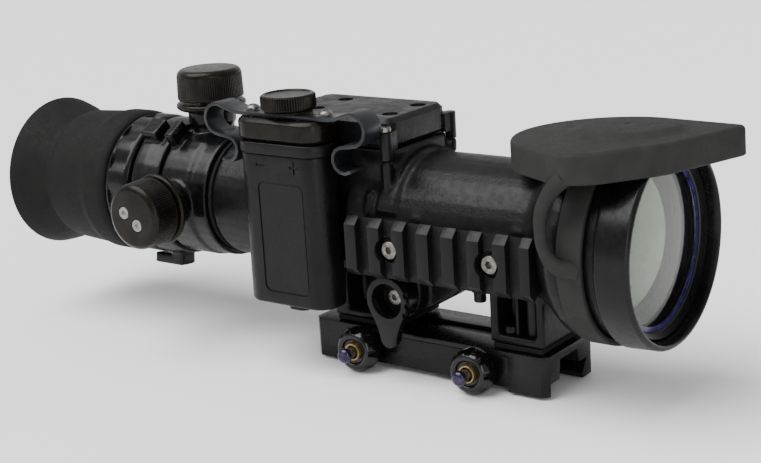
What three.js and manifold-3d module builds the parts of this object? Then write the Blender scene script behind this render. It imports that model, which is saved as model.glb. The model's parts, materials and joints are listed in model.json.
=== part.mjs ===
// Night-vision rifle sight with a battery box, a side accessory rail and a rail clamp.
// Millimetres. +X points forward, out of the objective; +Z is up; -Y is the battery side.
// The origin lies in the plane of the clamp's feet, midway along the clamp, under the optical axis.
import * as THREE from 'three';
import { ConvexGeometry } from 'three/addons/geometries/ConvexGeometry.js';
import { mergeVertices } from 'three/addons/utils/BufferGeometryUtils.js';
import Module from 'manifold-3d';

const wasm = await Module();
wasm.setup();

// ---- driving dimensions ------------------------------------------------------------------
const AXIS_HEIGHT = 53.5;       // optical axis above the clamp's feet
const GAP = 0.3;                // running gap kept between neighbouring pieces
const BIG = 36;                 // facets round a barrel
const SMALL = 18;               // facets round a knob or a screw

const EYECUP_REAR = -193.5;     // rim of the rubber eyecup
const EYECUP_FRONT = -142;
const DIOPTRE_FRONT = -129.4;   // front face of the dioptre ring's grip
const EYEPIECE_FRONT = -114.8;
const TURRET_X = -106;          // shared X place of both turrets
const TURRET_REACH = 47.8;      // turret face to the optical axis
const TURRET_RADIUS = 12.5;
const TURRET_FRONT = -91.6;
const BARREL_RADIUS = 25;       // turret housing
const COLLAR_RADIUS = 22.8;     // housing's rear collar
const TUBE_RADIUS = 23.4;       // housing's main tube
const LIGHT_PATH = 17;          // clear radius along the axis

const CASE_REAR = -62;          // electronics case on top of the tube
const CASE_FRONT = -8.5;
const CASE_HALF_WIDTH = 17.6;
const CASE_SPLIT = 26.6;        // cover joint above the optical axis
const CASE_TOP = 37.5;          // cover's top above the optical axis

const BOX_X = -46.4;            // battery box
const BOX_Y = -26.5;
const BOX_SEAT = -18.3;         // flat on the housing that the box stands against
const BOX_LENGTH = 38.6;
const BOX_DEPTH = 17;           // over the lip and the lid
const BOX_BOTTOM = 24.2;
const LID_BOTTOM = AXIS_HEIGHT + 30.1;
const LID_TOP = AXIS_HEIGHT + 38;
const CELL_RADIUS = 6.9;        // AA cell
const CELL_LENGTH = 50.5;
const CELL_PITCH = 15.2;

const STRAP_X = -45;            // spring strap, thumbscrew and its washer
const STRAP_WIDTH = 9.2;
const STRAP_THICKNESS = 1.2;
const STRAP_SCREW_REACH = 16.4; // each strap screw to the thumbscrew

const RAIL_PITCH = 10.007;      // accessory rail to the common 21.2 mm section
const RAIL_SLOT = 5.23;
const RAIL_SLOTS = 7;
const RAIL_WIDTH = 21.2;
const RAIL_REAR = -20.5;
const RAIL_LENGTH = 73.5;
const RAIL_FIRST_RIB = 4.6;
const RAIL_FACE_Y = -31;
const RAIL_DEPTH = 7.2;
const RAIL_HEIGHT = AXIS_HEIGHT - 4.8;

const CLAMP_LENGTH = 98;
const CLAMP_WIDTH = 32;
const CLAMP_HEIGHT = 14.2;
const SEAT_HEIGHT = 6.5;        // underside that bears on a rail's top face
const JAW_FROM = -33.6;         // jaw's bay between the end blocks
const JAW_TO = 33.9;
const BOLT_HEIGHT = 7.1;
const BOLT_RADIUS = 2.3;
const BOLT_REAR = -25.8;
const BOLT_FRONT = 22.6;
const NUT_RADIUS = 8;

const CONE_FROM = 46;           // tube flares to the objective barrel here
const CONE_TO = 60.5;
const OBJECTIVE_RADIUS = 32.2;
const STRAP_RING_FROM = 64.3;
const STRAP_RING_TO = 73.2;
const STRAP_RING_RADIUS = 34.2;
const FOCUS_REAR = 77.1;
const OBJECTIVE_FRONT = 89;
const FOCUS_RADIUS = 34;
const LENS_RADIUS = 28;

const CAP_X = 67.8;             // rubber cap folded back onto the top of the objective
const CAP_Y = -1.2;
const CAP_TOP = AXIS_HEIGHT + 35.9;
const CAP_DEPTH = 9.8;
const CAP_TILT = THREE.MathUtils.degToRad(2.1);
const CAP_LEAN = THREE.MathUtils.degToRad(1.4);
const CAP_DISC = { x: -1.8, y: -1, radius: 30.8 };
const CAP_LUG = { x: 2.5, y: -23.5, radius: 14 };     // the strap is moulded onto this side
const CAP_TAB = { x: 33.2, y: 19.7, radius: 2.5 };    // tip of the pull tab
const CAP_DOME = { x: 3, y: 4, radius: 20.5 };

const LEVER_X = -7.7;
const LEVER_Z = AXIS_HEIGHT - 24.3;
const LEVER_FACE_Y = -26.4;
const LEVER_BOSS_Y = -17;

// ---- finishes ----------------------------------------------------------------------------
const FINISHES = {
  painted: [0x1b1c1e, 0.62, 0.2],
  anodised: [0x1c1815, 0.32, 0.75],
  rubber: [0x2d2f31, 0.85, 0.0],
  black: [0x0a0a0b, 0.7, 0.1],
  spring: [0x4c5157, 0.38, 0.8],
  steel: [0xb4b2ab, 0.3, 0.95],
  bolt: [0x2a2530, 0.3, 0.9],
  glass: [0x9fb3a8, 0.05, 0.0],
  board: [0x1f4a2b, 0.6, 0.0],
  cell: [0x8a8f96, 0.35, 0.6],
};

function finish(name) {
  const [color, roughness, metalness] = FINISHES[name];
  return new THREE.MeshStandardMaterial({ color, roughness, metalness });
}

// ---- shape helpers -----------------------------------------------------------------------
function solidOf(geometry) {
  const bare = geometry.clone();
  bare.deleteAttribute('normal');
  bare.deleteAttribute('uv');
  const welded = mergeVertices(bare, 1e-4);
  const mesh = new wasm.Mesh({
    numProp: 3,
    vertProperties: new Float32Array(welded.attributes.position.array),
    triVerts: new Uint32Array(welded.index.array),
  });
  return new wasm.Manifold(mesh);
}

function geometryOf(solid) {
  const mesh = solid.getMesh();
  const geometry = new THREE.BufferGeometry();
  geometry.setAttribute('position', new THREE.BufferAttribute(mesh.vertProperties, 3));
  geometry.setIndex(new THREE.BufferAttribute(mesh.triVerts, 1));
  geometry.computeVertexNormals();
  return geometry;
}

function join(...pieces) {
  return geometryOf(pieces.map(solidOf).reduce((whole, piece) => whole.add(piece)));
}

function cut(body, ...tools) {
  return geometryOf(tools.map(solidOf).reduce((left, tool) => left.subtract(tool), solidOf(body)));
}

function keep(body, envelope) {
  return geometryOf(solidOf(body).intersect(solidOf(envelope)));
}

// Turns a lathe's own Y axis onto the wanted axis.
const ONTO_AXIS = {
  x: (geometry) => geometry.rotateZ(-Math.PI / 2),
  y: (geometry) => geometry,
  z: (geometry) => geometry.rotateX(Math.PI / 2),
};

// A turned piece: profile points are [place along the axis, radius], in order round the section.
function turned(axis, profile, segments = BIG) {
  const points = profile.map(([along, radius]) => new THREE.Vector2(radius, along));
  const onAxis = points[0].x === 0 && points.at(-1).x === 0;
  if (!onAxis) points.push(points[0].clone());
  return outward(ONTO_AXIS[axis](new THREE.LatheGeometry(points, segments)));
}

function outward(geometry) {
  let volume = 0;
  const place = geometry.attributes.position;
  const index = geometry.index.array;
  const corner = [new THREE.Vector3(), new THREE.Vector3(), new THREE.Vector3()];
  for (let i = 0; i < index.length; i += 3) {
    corner.forEach((point, k) => point.fromBufferAttribute(place, index[i + k]));
    volume += corner[0].dot(corner[1].clone().cross(corner[2]));
  }
  if (volume < 0) geometry.setIndex([...index].reverse());
  return geometry;
}

function ring(axis, from, to, outer, inner, segments = BIG) {
  return turned(axis, [[from, inner], [from, outer], [to, outer], [to, inner]], segments);
}

function disc(axis, from, to, radius, segments = SMALL) {
  return turned(axis, [[from, 0], [from, radius], [to, radius], [to, 0]], segments);
}

function block(x0, x1, y0, y1, z0, z1) {
  const box = new THREE.BoxGeometry(x1 - x0, y1 - y0, z1 - z0);
  return box.translate((x0 + x1) / 2, (y0 + y1) / 2, (z0 + z1) / 2);
}

function roundedRectangle(length, width, radius) {
  const x = length / 2;
  const y = width / 2;
  const shape = new THREE.Shape();
  shape.absarc(x - radius, y - radius, radius, 0, Math.PI / 2);
  shape.absarc(radius - x, y - radius, radius, Math.PI / 2, Math.PI);
  shape.absarc(radius - x, radius - y, radius, Math.PI, 1.5 * Math.PI);
  shape.absarc(x - radius, radius - y, radius, 1.5 * Math.PI, 2 * Math.PI);
  return shape;
}

// Extrudes a shape drawn in XY up along Z from z0 to z1, with an optional chamfer on both ends.
function pillar(shape, z0, z1, chamfer = 0, curveSegments = 3) {
  const options = { depth: z1 - z0 - 2 * chamfer, curveSegments, bevelEnabled: chamfer > 0 };
  Object.assign(options, { bevelSize: chamfer, bevelThickness: chamfer, bevelOffset: -chamfer });
  options.bevelSegments = 1;
  return new THREE.ExtrudeGeometry(shape, options).translate(0, 0, z0 + chamfer);
}

// Extrudes an outline of [x, z] points along Y from y0 to y1.
function sideways(shape, y0, y1, curveSegments = 6) {
  const options = { depth: y1 - y0, bevelEnabled: false, curveSegments };
  return new THREE.ExtrudeGeometry(shape, options).rotateX(Math.PI / 2).translate(0, y1, 0);
}

// Extrudes an outline of [y, z] points along X from x0 to x1.
function lengthways(shape, x0, x1) {
  const options = { depth: x1 - x0, bevelEnabled: false };
  const body = new THREE.ExtrudeGeometry(shape, options);
  return body.rotateX(Math.PI / 2).rotateZ(Math.PI / 2).translate(x0, 0, 0);
}

function polygon(points) {
  return new THREE.Shape(points.map(([x, y]) => new THREE.Vector2(x, y)));
}

// ---- the assembly ------------------------------------------------------------------------
const sight = new THREE.Group();
const optics = new THREE.Group();          // everything laid out round the optical axis
optics.position.z = AXIS_HEIGHT;
sight.add(optics);

function place(name, geometry, finishName, parent = sight) {
  const mesh = new THREE.Mesh(geometry, finish(finishName));
  mesh.name = name;
  parent.add(mesh);
  return mesh;
}

// ---- eyepiece ----------------------------------------------------------------------------
function eyecup() {
  return turned('x', [
    [EYECUP_REAR, 30.5], [-187, 29], [-181, 27], [-176.5, 25.9], [-170, 26.1], [-156, 27.3],
    [-153, 28.2], [-145, 28.2], [EYECUP_FRONT, 27], [EYECUP_FRONT, 23.4], [-177, 23.4],
    [-182, 25], [-188, 27.4], [EYECUP_REAR, 29.1],
  ]);
}

// The dioptre ring: a slim sleeve under the eyecup, and a grip with scallops round its rim.
function dioptreRing() {
  const grip = EYECUP_FRONT + GAP;
  const ringRadius = 27.4;
  const body = turned('x', [
    [-176, 20.4], [-176, 23.1], [grip, 23.1], [grip, ringRadius - 0.8], [grip + 1, ringRadius],
    [DIOPTRE_FRONT - 1, ringRadius], [DIOPTRE_FRONT, ringRadius - 1], [DIOPTRE_FRONT, 22.4],
    [-150.4, 22.4], [-150.4, 20.4],
  ]);
  const scallops = 12;
  const tools = [];
  for (let i = 0; i < scallops; i += 1) {
    const scallop = block(grip + 2, DIOPTRE_FRONT - 2, -3, 3, ringRadius - 1, ringRadius + 2);
    tools.push(scallop.rotateX((2 * Math.PI * (i + 0.5)) / scallops));
  }
  return cut(body, ...tools);
}

// Ears that bolt the eyepiece to the turret housing, each at its angle from +Y in the YZ plane.
const EAR_ANGLES = [120, 12];
const STOP_LUG_ANGLE = -97;

function ears(from, to) {
  return EAR_ANGLES.map((angle) => {
    const ear = block(from, to, -4.5, 4.5, 20, 31.2);
    return ear.rotateX(THREE.MathUtils.degToRad(angle - 90));
  });
}

// The lug under the eyepiece reaches back over the dioptre ring as its stop.
function stopLug() {
  const root = block(-127, -122, -4, 4, 20, 32.2);
  const reach = block(-137, -122, -4, 4, 28, 32.2);
  return join(root, reach).rotateX(THREE.MathUtils.degToRad(STOP_LUG_ANGLE - 90));
}

function eyepieceHousing() {
  const body = turned('x', [
    [-150, 20.3], [-150, 22.1], [-128.2, 22.1], [-128.2, 26.2], [-127.2, 27], [-122, 27],
    [EYEPIECE_FRONT, 26], [EYEPIECE_FRONT, LIGHT_PATH], [-128.2, LIGHT_PATH], [-128.2, 20.3],
  ]);
  return cut(join(body, stopLug(), ...ears(-127, -119)), disc('x', -151, -114, LIGHT_PATH, BIG));
}

function ocularCell() {
  return turned('x', [
    [-173, 16.8], [-173, 19.9], [-133, 19.9], [-133, 16.2], [-138, 16.2], [-138, 18],
    [-162, 18], [-162, 16.8],
  ]);
}

function lens(centre, radius, rearSag, frontSag, thickness) {
  const rear = centre - thickness / 2;
  const front = centre + thickness / 2;
  return turned('x', [
    [rear - rearSag, 0], [rear - 0.75 * rearSag, radius / 2], [rear, radius],
    [front, radius], [front + 0.75 * frontSag, radius / 2], [front + frontSag, 0],
  ], 24);
}

place('eyecup', eyecup(), 'rubber', optics);
place('dioptre_ring', dioptreRing(), 'painted', optics);
place('eyepiece_housing', eyepieceHousing(), 'painted', optics);
place('ocular_cell', ocularCell(), 'black', optics);
place('eye_lens', lens(-167.5, 16.5, 1, 2.4, 3), 'glass', optics);
place('field_lens', lens(-150, 17.7, 2.6, 2.6, 3), 'glass', optics);

// ---- turrets -----------------------------------------------------------------------------
const NECK_RADIUS = 9.3;
const NECK_TOP = 32;
const FLANGE_TOP = 35.1;
const SPINDLE_RADIUS = 4.4;

// A turret part is drawn standing on +Z; this lays it out along -Y.
function asWindage(geometry) {
  return geometry.rotateX(Math.PI / 2);
}

function atTurret(geometry) {
  return geometry.translate(TURRET_X, 0, 0);
}

function neck() {
  return turned('z', [[15, 0], [15, NECK_RADIUS - 1], [26.4, NECK_RADIUS - 1], [27, NECK_RADIUS],
    [NECK_TOP, NECK_RADIUS], [NECK_TOP, 0]], SMALL);
}

function turretHousing() {
  const rear = EYEPIECE_FRONT + GAP;
  const step = -99.3;
  const barrel = turned('x', [[rear, 0], [rear, BARREL_RADIUS], [step - 0.8, BARREL_RADIUS],
    [step, BARREL_RADIUS - 0.8], [TURRET_FRONT, BARREL_RADIUS - 0.8], [TURRET_FRONT, 0]]);
  const bore = () => disc('z', 5, NECK_TOP + 1, SPINDLE_RADIUS + GAP);
  const chamber = disc('x', rear - 1, TURRET_FRONT + 1, 19, BIG);
  const necks = [atTurret(neck()), atTurret(asWindage(neck()))];
  const bores = [atTurret(bore()), atTurret(asWindage(bore()))];
  return cut(join(barrel, ...necks, ...ears(rear, -110.2)), chamber, ...bores);
}

function turretFlange() {
  return turned('z', [[NECK_TOP + GAP, SPINDLE_RADIUS + GAP], [NECK_TOP + GAP, 12.4],
    [NECK_TOP + 1.2, 13.4], [FLANGE_TOP - 0.6, 13.4], [FLANGE_TOP, 12.8],
    [FLANGE_TOP, SPINDLE_RADIUS + GAP]], SMALL);
}

function turretKnob() {
  const base = FLANGE_TOP + 1;
  return turned('z', [[base, SPINDLE_RADIUS + GAP], [base, TURRET_RADIUS + 0.3],
    [TURRET_REACH - 1.4, TURRET_RADIUS], [TURRET_REACH - 0.5, TURRET_RADIUS - 0.5],
    [TURRET_REACH, TURRET_RADIUS - 1.5], [TURRET_REACH, 0], [42, 0], [42, SPINDLE_RADIUS + GAP]], 24);
}

function turretSpindle() {
  return disc('z', 18.2, 42 - GAP, SPINDLE_RADIUS, 16);
}

const FACE_SCREW_RADIUS = 2.3;
const FACE_SCREW_SEAT = 2.2;
const FACE_SCREW_PLACES = [[-4.1, 1.4], [2.1, -2.8]];

// The windage knob's flat face carries two socket screws, flush in their seats.
function windageKnob() {
  const seats = FACE_SCREW_PLACES.map(([x, y]) => {
    const seat = disc('z', TURRET_REACH - FACE_SCREW_SEAT, TURRET_REACH + 1, FACE_SCREW_RADIUS + GAP, 16);
    return seat.translate(x, y, 0);
  });
  return cut(turretKnob(), ...seats);
}

function faceScrew() {
  const top = TURRET_REACH + 0.1;
  const foot = TURRET_REACH - FACE_SCREW_SEAT + GAP;
  return turned('z', [[foot, 0], [foot, FACE_SCREW_RADIUS], [top, FACE_SCREW_RADIUS],
    [top, 0.9], [foot + 1, 0.9], [foot + 1, 0]], 16);
}

place('turret_housing', turretHousing(), 'painted', optics);
place('elevation_flange', atTurret(turretFlange()), 'anodised', optics);
place('elevation_knob', atTurret(turretKnob()), 'anodised', optics);
place('elevation_spindle', atTurret(turretSpindle()), 'steel', optics);
place('windage_flange', atTurret(asWindage(turretFlange())), 'anodised', optics);
place('windage_knob', atTurret(asWindage(windageKnob())), 'anodised', optics);
place('windage_spindle', atTurret(asWindage(turretSpindle())), 'steel', optics);
FACE_SCREW_PLACES.forEach(([x, y], i) => {
  const screw = asWindage(faceScrew().translate(x, y, 0));
  place(`windage_face_screw_${i + 1}`, atTurret(screw), 'steel', optics);
});

// The reticle sits in a cell that the windage spindle moves, inside a carrier that the
// elevation spindle moves.
place('reticle_carrier', ring('x', TURRET_X - 4, TURRET_X + 4, 17.4, 13.8, 32), 'black', optics);
place('reticle_cell', cut(disc('x', TURRET_X - 3, TURRET_X + 3, 12.4, 32),
  disc('x', TURRET_X - 4, TURRET_X - 0.8, 10, 32), disc('x', TURRET_X + 0.8, TURRET_X + 4, 10, 32)),
'glass', optics);
place('housing_seal', ring('x', TURRET_FRONT + GAP, -89.9, 22.4, LIGHT_PATH), 'rubber', optics);

// ---- main housing ------------------------------------------------------------------------
// One casting: collar, tube, flare, objective barrel, electronics case, two pedestals and the
// lever's boss. It is drawn round the optical axis.
const PEDESTAL_FOOT = CLAMP_HEIGHT + 2.3 - AXIS_HEIGHT;
const REAR_PEDESTAL = { rear: -40, front: -13 };
const FRONT_PEDESTAL = { rear: 26.5, front: 47.2 };
const PEDESTAL_HALF_WIDTH = 14.5;

// The flare from the tube to the objective barrel, moved outwards by a clearance.
function flare(clearance) {
  return [
    [CONE_FROM, TUBE_RADIUS + clearance], [CONE_FROM + 3, TUBE_RADIUS + 0.8 + clearance],
    [CONE_TO - 1.5, OBJECTIVE_RADIUS + clearance], [CONE_TO, OBJECTIVE_RADIUS + 0.8 + clearance],
  ];
}

function barrelShell() {
  return turned('x', [
    [-89.6, 0], [-89.6, COLLAR_RADIUS - 1], [-88.6, COLLAR_RADIUS], [-67, COLLAR_RADIUS],
    [-66, TUBE_RADIUS], ...flare(0),
    [STRAP_RING_FROM - GAP, OBJECTIVE_RADIUS + 0.8], [STRAP_RING_FROM - GAP, OBJECTIVE_RADIUS - 0.4],
    [FOCUS_REAR - GAP, OBJECTIVE_RADIUS - 0.4], [FOCUS_REAR - GAP, 0],
  ]);
}

function barrelBore() {
  return turned('x', [
    [-91, 0], [-91, LIGHT_PATH], [-22, LIGHT_PATH], [-22, 15.5],
    [CONE_FROM, 20], [CONE_TO, 27.5], [CONE_TO, 29.4], [FOCUS_REAR + 1, 29.4], [FOCUS_REAR + 1, 0],
  ]);
}

function caseLower() {
  const outline = roundedRectangle(CASE_FRONT - CASE_REAR, 2 * CASE_HALF_WIDTH, 3);
  return pillar(outline, 0, CASE_SPLIT).translate((CASE_REAR + CASE_FRONT) / 2, 0, 0);
}

// The circuit board lies in a shallow tray above the tube, open to the cover.
function caseTray() {
  return block(CASE_REAR + 6, CASE_FRONT - 7, -12.5, 12.5, 24.2, CASE_SPLIT + 1);
}

function rearPedestal() {
  const { rear, front } = REAR_PEDESTAL;
  return block(rear, front, -PEDESTAL_HALF_WIDTH, PEDESTAL_HALF_WIDTH, PEDESTAL_FOOT, -12);
}

// A sloping web runs forward from the rear pedestal to the underside of the tube.
function rearWeb() {
  const { front } = REAR_PEDESTAL;
  const outline = polygon([[front - 3, PEDESTAL_FOOT], [front + 1, PEDESTAL_FOOT], [10, -24.4],
    [14, -21], [14, -16], [front - 3, -16]]);
  return sideways(outline, -11, 11);
}

function frontPedestal() {
  const { rear, front } = FRONT_PEDESTAL;
  return block(rear, front, -PEDESTAL_HALF_WIDTH, PEDESTAL_HALF_WIDTH, PEDESTAL_FOOT, -12);
}

// A pocket in the battery side of each pedestal gives room to drive the clamp's screws.
function pedestalPocket(rear, front) {
  return block(rear, front, -PEDESTAL_HALF_WIDTH - 5, -5, PEDESTAL_FOOT + 3, -20.5);
}

// Screw bosses that carry the side rail, each with a small web above the rail.
const RAIL_SCREW_SLOTS = [1, 5];

function railSlotCentre(slot) {
  return RAIL_REAR + RAIL_FIRST_RIB + slot * RAIL_PITCH + RAIL_SLOT / 2;
}

function railBoss(x) {
  const pad = block(x - 6, x + 6, RAIL_FACE_Y + RAIL_DEPTH + GAP, -12, -13, 3.5);
  const web = polygon([[-12, 2], [-23.2, 2], [-23.2, 5.6], [-21, 9.4], [-12, 9.4]]);
  return join(pad, lengthways(web, x + 5, x + 9));
}

// A thin fin stands between the tube and the rear end of the rail.
function railFin() {
  const fin = polygon([[-12, 4], [-23.2, 4], [-23.2, 6], [-21.6, 12.4], [-12, 12.4]]);
  return lengthways(fin, -17.2, -14.8);
}

function leverBoss() {
  const z = LEVER_Z - AXIS_HEIGHT;
  return join(
    disc('y', LEVER_BOSS_Y, -4, 7.6, SMALL).translate(LEVER_X, 0, z),
    block(LEVER_X - 7.6, LEVER_X + 7.6, LEVER_BOSS_Y, -4, z, -16),
  );
}

// Columns stand beside the case's front corners; the cover's own ears rest on them.
const COLUMN_X = -8.9;
const COLUMN_Y = 19.4;
const COLUMN_RADIUS = 2.1;
const COLUMN_JOINT = 24;        // above the optical axis

function column(side, from, to) {
  return disc('z', from, to, COLUMN_RADIUS, 12).translate(COLUMN_X, side * COLUMN_Y, 0);
}

function columnWeb(side, from, to) {
  const inner = side * (CASE_HALF_WIDTH - 3);
  const outer = side * COLUMN_Y;
  const [y0, y1] = [Math.min(inner, outer), Math.max(inner, outer)];
  return block(COLUMN_X - 3, COLUMN_X + 1.2, y0, y1, from, to);
}

// A raised collar where the case's front wall meets the tube.
function caseCollar() {
  const collar = turned('x', [[-12, 19], [-12, 24.7], [-5, 24.7], [-2.6, TUBE_RADIUS - 0.5], [-2.6, 19]]);
  return keep(collar, block(-13, -2, -30, 30, 6.5, 30));
}

// Room for the cover's ears in the case's side walls.
function earRoom(side) {
  const room = disc('z', COLUMN_JOINT - GAP, CASE_SPLIT + 1, COLUMN_RADIUS + GAP, 12);
  return room.translate(COLUMN_X, side * COLUMN_Y, 0);
}

function mainHousing() {
  const whole = join(
    barrelShell(), caseLower(), rearPedestal(), rearWeb(), frontPedestal(), leverBoss(),
    caseCollar(), column(-1, 8, COLUMN_JOINT - GAP), columnWeb(-1, 8, COLUMN_JOINT - 3),
    column(1, 19, COLUMN_JOINT - GAP), columnWeb(1, 16, COLUMN_JOINT - 3),
    railFin(), ...RAIL_SCREW_SLOTS.map((slot) => railBoss(railSlotCentre(slot))),
  );
  const boxEnd = BOX_LENGTH / 2 + 0.8;
  const boxRoom = block(BOX_X - boxEnd, BOX_X + boxEnd, -40, BOX_SEAT, -35, CASE_SPLIT + 1);
  return cut(
    whole, barrelBore(), caseTray(), boxRoom, earRoom(-1), earRoom(1),
    pedestalPocket(REAR_PEDESTAL.rear + 6, REAR_PEDESTAL.front - 3),
    pedestalPocket(FRONT_PEDESTAL.rear + 3, FRONT_PEDESTAL.front - 3),
  );
}

place('main_housing', mainHousing(), 'painted', optics);

// ---- case cover and electronics ----------------------------------------------------------
const COVER_SCREW_X = [-47, -14.8];
const COVER_SCREW_Y = 8.4;
const EAR_TOP = CASE_TOP - 4;   // ears that carry the cover's corner screws

function coverScrewPlaces() {
  return COVER_SCREW_X.flatMap((x) => [[x, COVER_SCREW_Y], [x, -COVER_SCREW_Y]]);
}

function topCover() {
  const outline = roundedRectangle(CASE_FRONT - CASE_REAR, 2 * CASE_HALF_WIDTH, 4.5);
  const lid = pillar(outline, CASE_SPLIT + GAP, CASE_TOP, 1.6, 4);
  const slab = lid.translate((CASE_REAR + CASE_FRONT) / 2, 0, 0);
  const foot = block(CASE_REAR + 3, CASE_FRONT - 3, -15, 15, CASE_SPLIT + GAP, CASE_SPLIT + 3);
  const seats = coverScrewPlaces().map(([x, y]) => (
    disc('z', CASE_TOP - 2.4, CASE_TOP + 1, 2.9, 16).translate(x, y, 0)));
  const coverEars = [-1, 1].flatMap((side) => [
    column(side, COLUMN_JOINT, EAR_TOP), columnWeb(side, CASE_SPLIT + GAP, EAR_TOP)]);
  const room = block(CASE_REAR + 8, CASE_FRONT - 9, -11.5, 11.5, CASE_SPLIT - 1, CASE_TOP - 3.2);
  return cut(join(slab, foot, ...coverEars), room, ...seats);
}

function socketScrew(headRadius, seat, headHeight, socketRadius) {
  const top = seat + headHeight;
  return turned('z', [[seat, 0], [seat, headRadius], [top - 0.3, headRadius], [top, headRadius - 0.3],
    [top, socketRadius], [top - headHeight * 0.6, socketRadius], [top - headHeight * 0.6, 0]], 12);
}

place('top_cover', topCover(), 'painted', optics);
place('circuit_board', block(CASE_REAR + 8, CASE_FRONT - 9, -11, 11, 24.6, 26), 'board', optics);
coverScrewPlaces().forEach(([x, y], i) => {
  const screw = socketScrew(2.5, CASE_TOP - 2.4 + GAP, 1.5, 1.3).translate(x, y, 0);
  place(`cover_screw_${i + 1}`, screw, 'black', optics);
});
place('corner_screw', socketScrew(1.9, EAR_TOP + GAP, 1.7, 0.9)
  .translate(COLUMN_X, -COLUMN_Y, 0), 'steel', optics);

place('intensifier_tube', turned('x', [[-57, 0], [-57, 15.5], [-52, 15.5], [-52, 16.6],
  [-26, 16.6], [-26, 0]]), 'black', optics);

// ---- battery box -------------------------------------------------------------------------
const LIP_PROUD = 0.6;          // the lip and lid stand this far outside the box's walls
const BAY_RADIUS = CELL_RADIUS + 0.35;

function boxOutline(grow) {
  const radius = 7.6 + grow;
  return roundedRectangle(BOX_LENGTH + 2 * grow, BOX_DEPTH + 2 * grow, radius);
}

// Both cells stand in one bay with rounded ends.
function bayOutline(shrink) {
  const radius = BAY_RADIUS - shrink;
  return roundedRectangle(CELL_PITCH + 2 * radius, 2 * radius, radius - 0.05);
}

function atBox(geometry) {
  return geometry.translate(BOX_X, BOX_Y, 0);
}

function cellPlaces() {
  return [-CELL_PITCH / 2, CELL_PITCH / 2].map((offset) => BOX_X + offset);
}

function batteryBox() {
  const body = pillar(boxOutline(-LIP_PROUD), BOX_BOTTOM, LID_BOTTOM - 4, 1.2);
  const lip = pillar(boxOutline(0), LID_BOTTOM - 4.4, LID_BOTTOM - GAP, 0.3);
  const foot = pillar(roundedRectangle(9, 8, 3), BOX_BOTTOM - 1.6, BOX_BOTTOM + 1).translate(3, -2, 0);
  const wall = LIP_PROUD - BOX_DEPTH / 2;
  const panel = block(-8.5, 11.5, wall - 1, wall + 0.3, BOX_BOTTOM + 5, BOX_BOTTOM + 45);
  const hollow = pillar(bayOutline(0), BOX_BOTTOM + 2, LID_BOTTOM + 5);
  return atBox(cut(join(body, lip, foot), hollow, panel));
}

// The lid's top is hollowed a little from below for the contact springs.
function batteryLid() {
  const slab = pillar(boxOutline(0), LID_BOTTOM, LID_TOP, 1.2);
  const plug = pillar(bayOutline(GAP), LID_BOTTOM - 1.8, LID_BOTTOM + 1);
  const room = pillar(bayOutline(2), LID_BOTTOM - 3, LID_TOP - 4);
  const stud = disc('z', LID_TOP - 3, LID_TOP + 1, 2 + GAP, 12).translate(STRAP_X - BOX_X, 0, 0);
  return atBox(cut(join(slab, plug), room, stud));
}

function batteryCell() {
  const foot = BOX_BOTTOM + 2.5;
  const top = foot + CELL_LENGTH;
  return turned('z', [[foot, 0], [foot, CELL_RADIUS - 0.5], [foot + 0.5, CELL_RADIUS],
    [top - 2, CELL_RADIUS], [top - 1.2, CELL_RADIUS - 1], [top - 1.2, 2.8], [top, 2.8],
    [top, 0]], SMALL);
}

function contactSpring() {
  const foot = BOX_BOTTOM + 2.5 + CELL_LENGTH + GAP;
  const top = LID_TOP - 4 - GAP;
  return turned('z', [[foot, 1.2], [foot, 1.9], [top, 3.2], [top, 2.4]], 12);
}

place('battery_box', batteryBox(), 'painted');
place('battery_lid', batteryLid(), 'anodised');
['rear', 'front'].forEach((end, i) => {
  const x = cellPlaces()[i];
  place(`battery_cell_${end}`, batteryCell().translate(x, BOX_Y, 0), 'cell');
  place(`contact_spring_${end}`, contactSpring().translate(x, BOX_Y, 0), 'steel');
});

// ---- spring strap and thumbscrew ---------------------------------------------------------
const STRAP_HEIGHT = LID_TOP + GAP + STRAP_THICKNESS / 2;   // centre line over the lid

// Centre line of one half of the strap, from its middle outwards: flat over the lid, up and
// round an open loop, in beside the box's lip, and out again in a finger curl.
function strapHalf() {
  const loop = { x: 30.2, z: STRAP_HEIGHT - 2.9, radius: 5.5 };
  const curl = { x: 26.2, z: STRAP_HEIGHT - 13.5, radius: 4.6 };
  const angle = THREE.MathUtils.degToRad;
  const half = new THREE.Path();
  half.moveTo(0, STRAP_HEIGHT);
  half.lineTo(19, STRAP_HEIGHT);
  const rise = angle(118);
  half.bezierCurveTo(22, STRAP_HEIGHT, 24.5, STRAP_HEIGHT + 0.8,
    loop.x + loop.radius * Math.cos(rise), loop.z + loop.radius * Math.sin(rise));
  half.absarc(loop.x, loop.z, loop.radius, rise, angle(-80), true);
  half.absarc(curl.x, curl.z, curl.radius, angle(112), angle(305), false);
  return half;
}

function springStrap() {
  const steps = 30;
  const upper = [];
  const lower = [];
  const half = strapHalf();
  for (let i = 0; i <= steps; i += 1) {
    const at = half.getPointAt(i / steps);
    const heading = half.getTangentAt(i / steps).multiplyScalar(STRAP_THICKNESS / 2);
    upper.push([at.x - heading.y, at.y + heading.x]);
    lower.push([at.x + heading.y, at.y - heading.x]);
  }
  const mirror = ([x, z]) => [-x, z];
  const outline = [
    ...upper, ...lower.toReversed(),
    ...lower.slice(1).map(mirror), ...upper.slice(1).toReversed().map(mirror),
  ];
  const band = sideways(polygon(outline), -STRAP_WIDTH / 2, STRAP_WIDTH / 2);
  const holes = [disc('z', LID_TOP - 2, LID_TOP + 4, 2 + GAP, 12)];
  [-1, 1].forEach((side) => {
    holes.push(disc('z', LID_TOP - 2, LID_TOP + 6, 1.3, 12).translate(side * STRAP_SCREW_REACH, 0, 0));
  });
  return cut(band, ...holes).translate(STRAP_X, BOX_Y, 0);
}

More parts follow.
